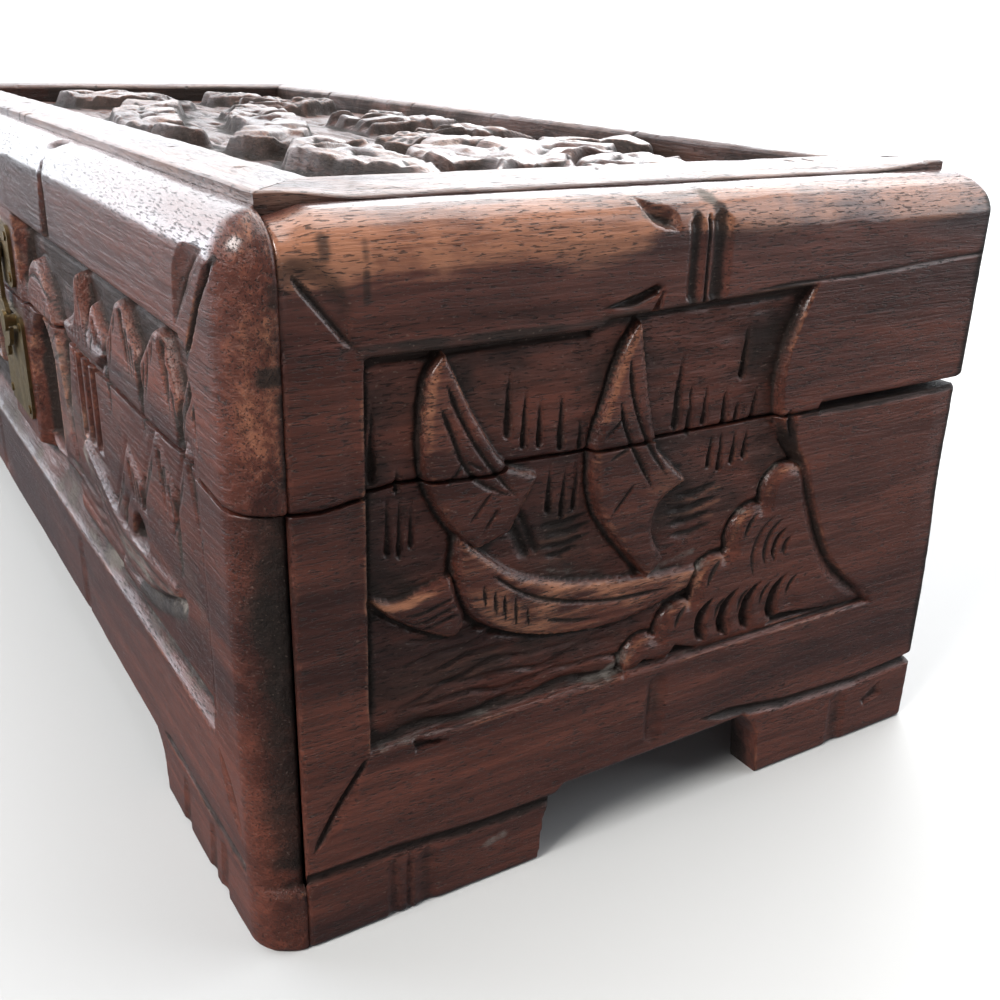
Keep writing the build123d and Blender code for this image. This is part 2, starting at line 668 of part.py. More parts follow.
def build():
    """Every piece by its name."""
    pieces = {}
    front_cut = front_carving()
    back_cut = back_carving()

    bottom = bar(-INNER_X - GROOVE_DEPTH, INNER_X + GROOVE_DEPTH, -INNER_Y - GROOVE_DEPTH,
                 INNER_Y + GROOVE_DEPTH, BOTTOM_Z, BOTTOM_Z + BOTTOM_THICK)
    pieces["base_bottom_board"] = bottom
    pieces["base_front_board"] = base_long_board(FRONT, HALF_LENGTH, front_cut) - bottom
    pieces["base_back_board"] = base_long_board(BACK, INNER_X, back_cut) - bottom - back_bevel(-1)
    pieces["base_right_end_board"] = base_end_board() - bottom
    pieces["base_left_end_board"] = mirror(pieces["base_right_end_board"], about=Plane.YZ)

    pieces["lid_front_board"] = lid_long_board(FRONT, HALF_LENGTH, front_cut)
    pieces["lid_back_board"] = lid_long_board(BACK, INNER_X, back_cut) - back_bevel(1)
    pieces["lid_right_end_board"] = lid_end_board()
    pieces["lid_left_end_board"] = mirror(pieces["lid_right_end_board"], about=Plane.YZ)

    long_moulding = moulding(INNER_X, INNER_Y)
    end_moulding = Rotation(0, 0, -90) * moulding(INNER_Y, INNER_X)
    pieces["lid_frame_back_moulding"] = long_moulding
    pieces["lid_frame_front_moulding"] = Rotation(0, 0, 180) * long_moulding
    pieces["lid_frame_right_moulding"] = end_moulding
    pieces["lid_frame_left_moulding"] = Rotation(0, 0, 180) * end_moulding
    pieces["lid_top_panel"] = lid_panel()

    base_screws = []
    lid_screws = []
    for name, x in (("left", -HINGE_X), ("right", HINGE_X)):
        pieces["base_back_board"] -= hinge_pocket(x, "base")
        pieces["lid_back_board"] -= hinge_pocket(x, "lid")
        pieces[name + "_hinge_base_leaf"] = hinge_leaf(x, "base")
        pieces[name + "_hinge_lid_leaf"] = hinge_leaf(x, "lid")
        pieces[name + "_hinge_pin"] = hinge_pin(x)
        base_screws += hinge_screws(x, "base")
        lid_screws += hinge_screws(x, "lid")
    pieces["hinge_base_screws"] = Compound(children=base_screws)
    pieces["hinge_lid_screws"] = Compound(children=lid_screws)

    stud_x, stud_y = stud_spot()
    rivet = headed_stud(0, HOOK_PIVOT_Z, RIVET_R, RIVET_HEAD_R, STUD_ROOT)
    stud = headed_stud(stud_x, stud_y, STUD_R, STUD_HEAD_R, STUD_ROOT)
    for name, size, centre_z, post in (
        ("lid", LID_PLATE, LID_PLATE_Z, rivet), ("base", BASE_PLATE, BASE_PLATE_Z, stud),
    ):
        nails = plate_nails(size, centre_z)
        plate = catch_plate(size, centre_z) - post
        for nail in nails:
            plate -= nail
            pieces[name + "_front_board"] -= FRONT * nail
        pieces[name + "_front_board"] -= FRONT * post
        pieces[name + "_catch_plate"] = FRONT * plate
        pieces[name + "_catch_nails"] = FRONT * Compound(children=nails)
    pieces["hook_pivot_rivet"] = FRONT * rivet
    pieces["base_catch_stud"] = FRONT * stud
    pieces["catch_hook"] = FRONT * catch_hook()
    return pieces


for piece_name, solid in build().items():
    export_step(solid, "parts/" + piece_name + ".step")
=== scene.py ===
import math

import bmesh
import bpy
import numpy as np
from mathutils import Matrix, Vector


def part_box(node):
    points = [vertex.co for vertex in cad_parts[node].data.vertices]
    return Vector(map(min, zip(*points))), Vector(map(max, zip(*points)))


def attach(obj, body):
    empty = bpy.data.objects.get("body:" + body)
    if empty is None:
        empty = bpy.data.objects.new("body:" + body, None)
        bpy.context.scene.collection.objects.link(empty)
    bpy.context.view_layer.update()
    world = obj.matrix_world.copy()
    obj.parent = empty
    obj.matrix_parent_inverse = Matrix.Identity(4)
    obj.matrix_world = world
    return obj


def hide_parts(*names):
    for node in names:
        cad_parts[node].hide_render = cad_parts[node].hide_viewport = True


# A carved wooden box: four walls of two boards each, a framed and carved lid, brass hinges and a hook.
# The carving is cut with the same few tools that a carver has: outlines are stabbed and sunk, forms
# are left standing, and knives and gouges cut lines into them. Lengths are in millimetres, but in metres
# in the sections on finishes and on the room.

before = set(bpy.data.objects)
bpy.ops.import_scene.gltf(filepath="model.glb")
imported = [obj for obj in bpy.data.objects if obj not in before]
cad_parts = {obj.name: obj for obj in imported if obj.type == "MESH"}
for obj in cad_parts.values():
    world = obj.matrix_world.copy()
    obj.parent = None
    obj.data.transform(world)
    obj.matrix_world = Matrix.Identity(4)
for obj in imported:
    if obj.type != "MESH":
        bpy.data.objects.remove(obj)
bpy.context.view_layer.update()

MM = 0.001


def node_box(node):
    """The lowest and highest corner of a board or fitting."""
    low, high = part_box(node)
    return np.array(low) / MM, np.array(high) / MM


# Sizes taken from the boards of the frame
_, front_high = node_box("base_front_board")
lid_low, lid_high = node_box("lid_front_board")
end_low, end_high = node_box("base_right_end_board")
_, panel_high = node_box("lid_top_panel")
moulding_low, moulding_high = node_box("lid_frame_front_moulding")
hinge_low, hinge_high = node_box("right_hinge_base_leaf")
HALF_LENGTH = front_high[0]
INNER_X = end_low[0]
BOARD = HALF_LENGTH - INNER_X
INNER_Y = -end_low[1]
HALF_DEPTH = end_high[1]
BASE_TOP = front_high[2]
LID_LOW = lid_low[2]
SPLIT = (BASE_TOP + LID_LOW) / 2
HALF_GAP = (LID_LOW - BASE_TOP) / 2
RAIL_TOP = lid_high[2]
CROWN_TOP = moulding_high[2]
MOULDING_WIDTH = moulding_high[1] - moulding_low[1]
CEILING = moulding_low[2]
PANEL_THICKNESS = 4.0
PANEL_GROUND = CEILING + PANEL_THICKNESS
PANEL_RELIEF = panel_high[2] - PANEL_GROUND
HINGE_X = (hinge_low[0] + hinge_high[0]) / 2
HINGE_HALF = (hinge_high[0] - hinge_low[0]) / 2
HINGE_ROOM = 0.3
KNUCKLE_ROOM = 2.3

# The rounded rail on top of each wall: the face runs straight up, then turns through a quarter round
ROUND_START = RAIL_TOP - BOARD
RAIL_ARC = BOARD * math.pi / 2
FACE_TOP = ROUND_START + RAIL_ARC

# An end board runs on round its back corner and over its end grain
ARRIS = 1.6
BACK_TURN = HALF_DEPTH - ARRIS
ARRIS_ARC = ARRIS * math.pi / 2
BACK_REACH = BACK_TURN + ARRIS_ARC + BOARD - ARRIS
CORNER_BLEND = 24.0

# The carved field
FIELD_LOW = 33.6
FIELD_HIGH = 98.0
FIELD_EDGE = HALF_LENGTH - 18.5

# The meeting arrises at the back are bevelled
BEVEL = 1.5
BEVEL_HEIGHT = 1.95

# The saw left a ragged edge on the walls, and the lid's edge is worn away towards the back of the ends
SAW_DRIFT = 1.1
WORN_FROM = 34.8
WORN_STEP = 1.2

# Feet
END_FOOT_FRONT = -23.0
END_FOOT_BACK = 30.3
END_ARCH = 14.5
LONG_FOOT = 53.0
LONG_ARCH = 12.3
COVE = 5.0
FOOT_LEDGE = 11.5
FOOT_GROOVE = 14.4
COLUMN_SETBACK = 1.1


# Lines and noise

def smooth(points, steps=7, closed=False):
    """Points along a smooth line through the given ones."""
    points = np.array(points, float)
    if closed:
        run = np.vstack([points[-1:], points, points[:2]])
    else:
        run = np.vstack([2 * points[0] - points[1], points, 2 * points[-1] - points[-2]])
    t = np.linspace(0, 1, steps, endpoint=False)[:, None]
    spans = []
    for a, b, c, d in zip(run[:-3], run[1:-2], run[2:-1], run[3:]):
        rise = (c - a) * t
        bend = (2 * a - 5 * b + 4 * c - d) * t ** 2
        twist = (3 * b - a - 3 * c + d) * t ** 3
        spans.append(b + (rise + bend + twist) / 2)
    line = np.vstack(spans)
    return line if closed else np.vstack([line, points[-1:]])


def arc(x, y, radius, start, end, steps=14):
    """Points on an arc. Angles are in degrees from the right, anticlockwise."""
    angles = np.radians(np.linspace(start, end, steps))
    return np.column_stack([x + radius * np.cos(angles), y + radius * np.sin(angles)])


def ramp(x):
    """Rises smoothly from 0 to 1 as x does."""
    x = np.clip(x, 0, 1)
    return x * x * (3 - 2 * x)


def noise(u, v, seed, size=1.0, long=1.0):
    """Smooth noise from -1 to 1. Its lumps are size millimetres across, and long times that along u."""
    cells = 97
    table = np.random.RandomState(seed).uniform(-1, 1, (cells, cells))
    x = u / (size * long) + 500
    y = v / size + 500
    i = np.floor(x).astype(int)
    j = np.floor(y).astype(int)
    across = ramp(x - i)
    up = ramp(y - j)
    left, right = i % cells, (i + 1) % cells
    below, above = j % cells, (j + 1) % cells
    low = table[left, below] * (1 - across) + table[right, below] * across
    high = table[left, above] * (1 - across) + table[right, above] * across
    return low * (1 - up) + high * up


def distances(u, v, line):
    """Distance of each grid point from a line, how far along the line that is, and the way out to it."""
    best = np.full(u.shape, 1e9)
    along = np.zeros(u.shape)
    out_u = np.zeros(u.shape)
    out_v = np.zeros(u.shape)
    steps = np.hypot(*np.diff(line, axis=0).T)
    total = steps.sum()
    done = 0.0
    for (ax, ay), (bx, by), step in zip(line[:-1], line[1:], steps):
        if step > 0:
            t = np.clip(((u - ax) * (bx - ax) + (v - ay) * (by - ay)) / step ** 2, 0, 1)
            du = u - ax - t * (bx - ax)
            dv = v - ay - t * (by - ay)
            distance = np.hypot(du, dv)
            near = distance < best
            best[near] = distance[near]
            along[near] = (done + t[near] * step) / total
            out_u[near] = du[near]
            out_v[near] = dv[near]
        done += step
    return best, along, out_u, out_v


def inside(u, v, outline):
    """Which grid points lie in an outline."""
    result = np.zeros(u.shape, bool)
    x0, y0 = outline[-1]
    for x1, y1 in outline:
        crosses = (y0 > v) != (y1 > v)
        result ^= crosses & (u < (x1 - x0) * (v - y0) / (y1 - y0 + 1e-12) + x0)
        x0, y0 = x1, y1
    return result


def blurred(field, reach):
    """A field averaged over a square of cells."""
    for axis in (0, 1):
        pad = [(0, 0), (0, 0)]
        pad[axis] = (reach + 1, reach)
        total = np.cumsum(np.pad(field, pad, mode="edge"), axis=axis)
        span = 2 * reach + 1
        high = np.take(total, range(span, total.shape[axis]), axis=axis)
        low = np.take(total, range(0, total.shape[axis] - span), axis=axis)
        field = (high - low) / span
    return field


# The carver's tools

DOME_REACH = 6.0
WALL_FALL = 6.0


class Face:
    """A face as heights over a grid: u runs to the right and v up, as seen from outside."""

    def __init__(self, columns, rows, low=None, top=None):
        self.columns = np.asarray(columns, float)
        self.rows = np.asarray(rows, float)
        self.u, self.v = np.meshgrid(self.columns, self.rows)
        self.low = np.full(self.columns.shape, self.rows[0]) if low is None else low(self.columns)
        self.top = np.full(self.columns.shape, self.rows[-1]) if top is None else top(self.columns)
        self.v = np.clip(self.v, self.low, self.top)
        self.h = np.zeros(self.u.shape)
        self.dust = np.zeros(self.u.shape)
        self.rubbed_and_lit = np.zeros(self.u.shape)
        # A darkening layer: old stain, and painted shade in cuts, recesses, gaps and under overhangs.
        self.stain_and_shade = np.zeros(self.u.shape)
        self.handled = np.full(self.u.shape, 0.35)

    def area(self, line, reach):
        """The part of the grid within reach of a line, or None."""
        low = line.min(0) - reach
        high = line.max(0) + reach
        column, last_column = np.searchsorted(self.columns, (low[0], high[0]))
        row, last_row = np.searchsorted(self.rows, (low[1], high[1]))
        if column >= last_column or row >= last_row:
            return None
        return slice(max(row - 1, 0), last_row + 1), slice(max(column - 1, 0), last_column + 1)

    def sink(self, outline, depth, wall=0.7, keep=0.0):
        """Cut the ground away inside an outline, down a sloping wall."""
        outline = np.asarray(outline, float)
        place = self.area(outline, 0)
        if place is None:
            return
        u, v = self.u[place], self.v[place]
        distance = distances(u, v, np.vstack([outline, outline[:1]]))[0]
        floor = np.where(inside(u, v, outline), -depth * ramp(distance / wall), keep)
        self.h[place] = np.minimum(self.h[place], floor)

    def stand(self, outline, level, wall=1.2, edge=0.8, soft=0.3, dome=0.0, moat=0.0, reach=2.0,
              side=(-0.8, -0.6), bare_and_lit=0.0):
        """Leave a form standing to a level, with a rounded edge, and stab a moat beside it.

        The moat is deepest on the side that faces the given way, and is painted dark there as shade. A bare
        form has lost its stain on top, and is painted lighter there as a highlight."""
        outline = np.asarray(outline, float)
        place = self.area(outline, reach + 0.5)
        if place is None:
            return
        u, v = self.u[place], self.v[place]
        distance, _, out_u, out_v = distances(u, v, np.vstack([outline, outline[:1]]))
        within = inside(u, v, outline)
        if moat:
            facing = (out_u * side[0] + out_v * side[1]) / np.maximum(distance, 1e-6)
            share = np.clip(1 - distance / reach, 0, 1) * ramp(0.5 + facing)
            self.h[place] -= np.where(within, 0, moat * share)
            # The moat is painted dark, as shade beside the form.
            cut_grime_and_shade = np.where(within, 0, min(moat, 1.0) * share)
            self.stain_and_shade[place] = np.maximum(self.stain_and_shade[place], cut_grime_and_shade)
        signed = np.where(within, distance, -distance)
        rise = level - soft * (1 - ramp(signed / edge)) - dome * (1 - ramp(signed / DOME_REACH))
        rise = rise + np.minimum(signed, 0) * WALL_FALL / wall
        raised = rise > self.h[place]
        self.h[place] = np.maximum(self.h[place], rise)
        self.stain_and_shade[place] *= np.where(raised, 0.2, 1.0)
        # A bare form is painted lighter on top: lost stain and a painted highlight.
        self.rubbed_and_lit[place] = np.maximum(self.rubbed_and_lit[place], np.where(raised, bare_and_lit * ramp(signed), 0))

    def cut(self, line, width, depth, start=0.25, end=0.1, hollow=False, cut_grime_and_shade=0.95):
        """Cut along a line with a V tool, or with a gouge if hollow. Start and end are the shares of its
        length over which the cut comes to a point."""
        line = np.asarray(line, float)
        place = self.area(line, width)
        if place is None:
            return
        distance, along, _, _ = distances(self.u[place], self.v[place], line)
        narrow = np.clip(along / max(start, 1e-6), 0, 1) * np.clip((1 - along) / max(end, 1e-6), 0, 1)
        share = np.clip(1 - distance / np.maximum(0.5 * width * narrow, 1e-3), 0, 1)
        # The groove is painted dark along its middle: grime, and painted shade in the cut.
        groove_shade = (0.35 if hollow else cut_grime_and_shade) * np.sqrt(share) * np.clip(2.5 * narrow, 0, 1)
        if hollow:
            share = 1 - (1 - share) ** 2
        self.h[place] -= depth * narrow * share
        self.stain_and_shade[place] = np.maximum(self.stain_and_shade[place], groove_shade * min(depth / 0.5, 1.0))

    def press(self, line, width, depth):
        """A soft dent along a line."""
        line = np.asarray(line, float)
        place = self.area(line, width)
        if place is not None:
            distance = distances(self.u[place], self.v[place], line)[0]
            self.h[place] -= depth * ramp(1 - distance / width)

    def mark(self, layer, line, width, amount):
        """Put dust, rubbing, stain, painted shade or a painted highlight on a soft-edged patch along a line.
        """
        line = np.asarray(line, float)
        place = self.area(line, width)
        if place is not None:
            distance = distances(self.u[place], self.v[place], line)[0]
            patch = amount * ramp(1.25 * (1 - distance / width))
            layer[place] = np.maximum(layer[place], patch)

    def tooled(self, strength, seed):
        """The unevenness that flat tools leave, mostly where the ground is sunk."""
        chip, long = 2.4, 3.0
        sunk = ramp(-self.h / 1.2)
        fine = noise(self.u, self.v, seed, chip, long)
        fine = fine + 0.5 * noise(self.u, self.v, seed + 1, chip / 2.5, long)
        broad = noise(self.u, self.v, seed + 2, 14.0, 2.0)
        self.h += strength * fine * (0.25 + 0.75 * sunk) + 0.12 * broad
        self.h += 0.07 * sunk * noise(self.u, self.v, seed + 4, 0.8, 5.0)
        # The sunk ground is painted darker, in patches.
        patches = ramp(0.55 + 0.8 * noise(self.u, self.v, seed + 3, 9.0, 1.3))
        self.stain_and_shade = np.maximum(self.stain_and_shade, sunk * (0.22 + 0.3 * patches))

    def worn(self):
        """Wear every edge down a little, which also evens out walls that run across the grid."""
        self.h = blurred(self.h, 1)

    def steepness(self):
        """How steeply the face rises at each place."""
        rise_u = np.gradient(self.h, axis=1) / np.gradient(self.columns)
        rise_v = np.gradient(self.h, axis=0) / np.gradient(self.rows)[:, None]
        return np.hypot(rise_u, rise_v)

    def soften_borders(self, amount=0.5, reach=0.9, top=True):
        """Round the arrises where this face meets its neighbours."""
        gaps = [self.u - self.columns[0], self.columns[-1] - self.u, self.v - self.low]
        if top:
            gaps.append(self.top - self.v)
        for gap in gaps:
            self.h -= amount * (1 - np.clip(gap / reach, 0, 1)) ** 2

    def hollows(self):
        """How deep each place lies below what is round it, and how proud it stands, from 0 to 1."""
        wide = blurred(self.h, 7)
        close = blurred(self.h, 2)
        hollow = np.clip((wide - self.h) / 0.9, 0, 1)
        proud = 0.5 * np.clip((self.h - close) / 0.3, 0, 1)
        return hollow, proud


# Motifs, in the face-on frame of the wall that they are cut in

def moved(points, shift, flip):
    """An outline moved along the wall, and mirrored if flip is -1."""
    points = np.asarray(points, float) * (flip, 1)
    return points + (shift, 0)


def junk(face, level, shift=0.0, flip=1.0):
    """A trading junk with two bat-wing sails."""
    def at(points):
        return moved(points, shift, flip)

    moat_side = (-0.9 * flip, -0.45)
    hull_low = smooth([(-39.8, 67.3), (-40.1, 60.8), (-36.5, 52.4), (-24.7, 46.6), (-7.9, 44.6), (7.6, 47.5)])
    hull_top = smooth([(9.6, 51.0), (0.3, 51.8), (-12.9, 53.6), (-21.2, 55.6), (-30.1, 59.3), (-39.4, 67.0)])
    fore_left = smooth([(-42.8, 96.9), (-45.3, 93.0), (-46.1, 84.7), (-45.3, 77.0),
                        (-41.5, 69.8), (-36.7, 65.1)])
    fore_right = [(-31.0, 66.8), (-29.0, 70.3), (-26.0, 75.2), (-31.3, 77.4), (-34.0, 80.6), (-38.2, 87.6),
                  (-41.2, 93.6)]
    main_left = smooth([(-7.3, 98.0), (-9.9, 93.9), (-12.8, 86.1), (-15.1, 76.3),
                        (-12.7, 65.3), (-2.0, 52.1)])
    main_right = smooth([(1.1, 54.9), (-1.6, 59.5), (-1.9, 63.6), (0.2, 66.8), (4.7, 69.1)])
    main_back = [(-2.1, 75.5), (-4.7, 84.9), (-6.4, 93.0)]

    face.cut(at([(-31.4, 70.5), (-26.2, 60.6)]), 3.4, 1.0, 0.1, 0.1)
    face.cut(at([(-28.6, 70.0), (-24.6, 61.0)]), 2.0, 0.7, 0.1, 0.1)
    face.stand(at(np.vstack([fore_left, fore_right])), level, edge=1.1, soft=0.4, moat=1.0,
               reach=1.1, side=moat_side, bare_and_lit=0.22)
    face.stand(at(np.vstack([main_left, main_right, main_back])), level, edge=1.1, soft=0.4, moat=1.0,
               reach=1.2, side=moat_side, bare_and_lit=0.22)
    face.stand(at(np.vstack([hull_low, hull_top])), level, edge=1.2, soft=0.45, dome=0.25,
               moat=1.2, reach=1.8, side=(-0.3 * flip, -0.95), bare_and_lit=0.48)

    for line, width in (
        ([(-43.0, 93.3), (-40.4, 87.5), (-37.1, 81.7), (-32.6, 75.6), (-29.0, 71.6)], 1.3),
        ([(-43.9, 89.7), (-41.6, 84.6), (-39.6, 79.7), (-36.4, 76.0), (-30.4, 72.6)], 1.3),
        ([(-9.4, 93.0), (-8.4, 87.0), (-6.4, 81.4), (-3.4, 75.8), (0.4, 70.4)], 1.2),
        ([(-10.8, 85.8), (-9.2, 80.4), (-6.3, 75.0), (-3.9, 71.0), (-2.6, 68.4)], 1.1),
    ):
        face.cut(at(smooth(line)), width, 0.75, 0.15, 0.2)
    for line in (
        [(-39.3, 80.2), (-42.6, 76.0)], [(-39.3, 80.2), (-35.4, 77.6)],
        [(-34.4, 74.4), (-38.9, 69.2)], [(-33.0, 71.6), (-36.2, 67.4)],
        [(-9.6, 82.6), (-13.9, 78.9)], [(-6.4, 70.8), (-11.6, 64.9)], [(-8.0, 77.2), (-12.4, 75.4)],
    ):
        face.cut(at(line), 0.9, 0.45, 0.2, 0.3)

    # Painted highlights, with some wear: along the hull's top and down the sails' left edges, where the light
    # falls.
    for line, width, amount in ((hull_top - (0.0, 0.9), 1.3, 0.75), (fore_left + (0.8, 0.0), 1.3, 0.42),
                                (main_left + (0.8, 0.0), 1.3, 0.42), (fore_right, 1.0, 0.5)):
        face.mark(face.rubbed_and_lit, at(line), width, amount)
    gunwale = smooth([(-34.6, 60.4), (-29.0, 56.0), (-24.1, 53.3), (-16.9, 51.0), (-8.3, 49.4), (7.0, 48.7)])
    face.cut(at(gunwale), 1.1, 0.7, 0.06, 0.2)
    face.cut(at(smooth([(-24.0, 49.4), (-17.6, 47.6), (-11.0, 46.7)])), 1.1, 0.5, 0.2, 0.4)
    for x, high, low in ((-35.6, 58.8, 54.4), (-33.6, 57.6, 52.2), (-31.8, 56.4, 50.8), (-29.6, 55.4, 49.4),
                         (-27.2, 52.8, 48.8)):
        face.cut(at([(x, high), (x + 0.5, low)]), 0.8, 0.5, 0.3, 0.3)


def lapping_wave(face, level, shift=0.0, flip=1.0):
    """The striped bow wave beside the junk."""
    top = smooth([(-55.1, 60.2), (-50.7, 58.9), (-46.2, 59.9), (-41.0, 61.0)])
    low = smooth([(-38.4, 54.0), (-40.6, 50.6), (-46.0, 52.8), (-51.5, 56.4)])
    wave = moved(np.vstack([top, low]), shift, flip)
    face.stand(wave, level - 0.1, wall=0.9, edge=1.6, soft=0.5, moat=0.9, reach=1.4)
    # A painted highlight along the wave's top.
    face.mark(face.rubbed_and_lit, moved(top - (0.0, 0.7), shift, flip), 1.2, 0.7)
    for drop in (3.0, 4.7, 6.2):
        line = smooth([(-53.0 + 0.9 * drop, 59.8 - 1.05 * drop), (-46.5, 59.3 - drop), (-40.0, 61.0 - drop)])
        face.cut(moved(line, shift, flip), 0.9, 0.45, 0.25, 0.2)


def rocks(face, level, shift=0.0, flip=1.0):
    """A lobed rock that climbs to the right, with nested gouge cuts."""
    def at(points):
        return moved(points, shift, flip)

    lobes = ((30.0, 62.0, 5.6, 50, 195), (22.6, 55.0, 5.6, 72, 200), (14.6, 46.9, 5.4, 70, 195),
             (6.8, 39.9, 5.0, 66, 190), (-1.2, 35.4, 4.4, 62, 205))
    scallops = np.vstack([arc(x, y, radius, first, last, 12) for x, y, radius, first, last in lobes])
    slope = smooth([(57.0, FIELD_LOW), (45.6, 42.6), (40.0, 50.6), (36.6, 58.5), (34.6, 64.8)])
    face.stand(at(np.vstack([slope, scallops, [(-5.0, FIELD_LOW)]])), level, edge=2.6, soft=0.9,
               moat=0.9, reach=1.3, side=(-0.8 * flip, 0.6))
    # Painted highlights along the upper edges of the lobes.
    for x, y, radius, first, last in lobes:
        face.mark(face.rubbed_and_lit, at(arc(x, y, radius - 0.7, first, last - 20, 9)), 1.1, 0.5)
    for x, y, radius, depth in ((32.2, 51.0, 6.6, 0.5), (32.6, 50.6, 4.6, 0.95), (33.4, 50.4, 2.7, 0.6),
                                (31.2, 50.4, 8.6, 0.4)):
        face.cut(at(arc(x, y, radius, 105, 215, 10)), 1.5, depth, 0.35, 0.3)
    for x, radius in ((13.2, 5.4), (19.4, 6.0), (25.2, 6.2), (32.0, 6.2)):
        face.cut(at(arc(x + 3.4, 39.4, radius, 112, 232, 12)), 3.0, 1.8, 0.4, 0.2)
        face.cut(at(arc(x + 5.6, 40.0, radius - 1.4, 112, 190, 10)), 1.2, 0.5, 0.4, 0.4)
        face.press(at([(x + 2.2, 38.2), (x + 3.6, 36.6)]), 3.0, 0.35)
    for x, y, radius in ((24.4, 54.0, 6.0), (16.4, 46.0, 6.0), (8.6, 39.2, 5.2)):
        face.cut(at(arc(x + 1.6, y, radius, 112, 178, 8)), 1.3, 0.55, 0.4, 0.4)
    for left, right, high in ((-3.5, 5.6, 2.2), (3.4, 14.0, 3.4), (27.0, 52.0, 3.2)):
        peak = left + 0.18 * (right - left)
        wedge = [(left, FIELD_LOW), (right, FIELD_LOW + 0.2), (peak, FIELD_LOW + high)]
        face.sink(at(wedge), 2.6, 1.0)


def sky_cuts(face, cuts, depth=1.15):
    """Upright knife cuts in the ground, blunt below and pointed above, like far-off reeds."""
    for x, high, low, width in cuts:
        lean = 0.35 * math.sin(3.1 * x)
        face.cut([(x + lean, high), (x, low)], 1.05 * width, depth, 0.8, 0.06)


def water(face, left, right, low, high, seed, spacing=2.7, deep=1.0):
    """Rows of long wavy cuts."""
    rng = np.random.RandomState(seed)
    level = low
    while level < high:
        start = left + rng.uniform(0, 0.25) * (right - left)
        end = right - rng.uniform(0, 0.3) * (right - left)
        x = np.linspace(start, end, 26)
        swell = 0.75 * np.sin(x / rng.uniform(3.6, 5.6) + rng.uniform(0, 6))
        swell = swell + 0.35 * np.sin(x / 2.1 + level)
        width = rng.uniform(1.5, 2.4)
        depth = deep * rng.uniform(0.5, 0.8)
        face.cut(np.column_stack([x, level + swell]), width, depth, 0.2, 0.25, cut_grime_and_shade=0.5)
        level += spacing * rng.uniform(0.75, 1.2)


def bamboo_node(face, x, low, high, width=3.2, depth=0.8):
    """An upright hollow across a rail, as at a joint of bamboo."""
    face.cut([(x, low), (x, high)], width, depth, 0.12, 0.12, hollow=True)


def leaf(face, line, width, depth):
    """A pointed gouge cut with a knife line down its middle."""
    line = smooth(line)
    face.cut(line, width, depth, 0.4, 0.4, hollow=True)
    face.cut(line, 0.8, 0.4, 0.3, 0.3)


def over(z):
    """Where a height on the rounded rail lies on the face, which is laid out flat."""
    if z <= ROUND_START:
        return z
    return ROUND_START + BOARD * math.asin(min((z - ROUND_START) / BOARD, 1.0))


# The end walls

SHORE = smooth([(30.8, 101.0), (27.0, 92.3), (25.4, 84.0), (27.2, 74.8), (33.0, 67.1),
                (37.0, 58.0), (43.7, 45.3), (54.2, 35.5), (59.0, FIELD_LOW - 1.2)])
END_FIELD = np.vstack([SHORE, [(-56.2, FIELD_LOW), (-55.9, FIELD_HIGH), (-16.0, FIELD_HIGH), (-14.0, 99.6),
                               (-4.0, 99.9), (16.0, 100.6)]])


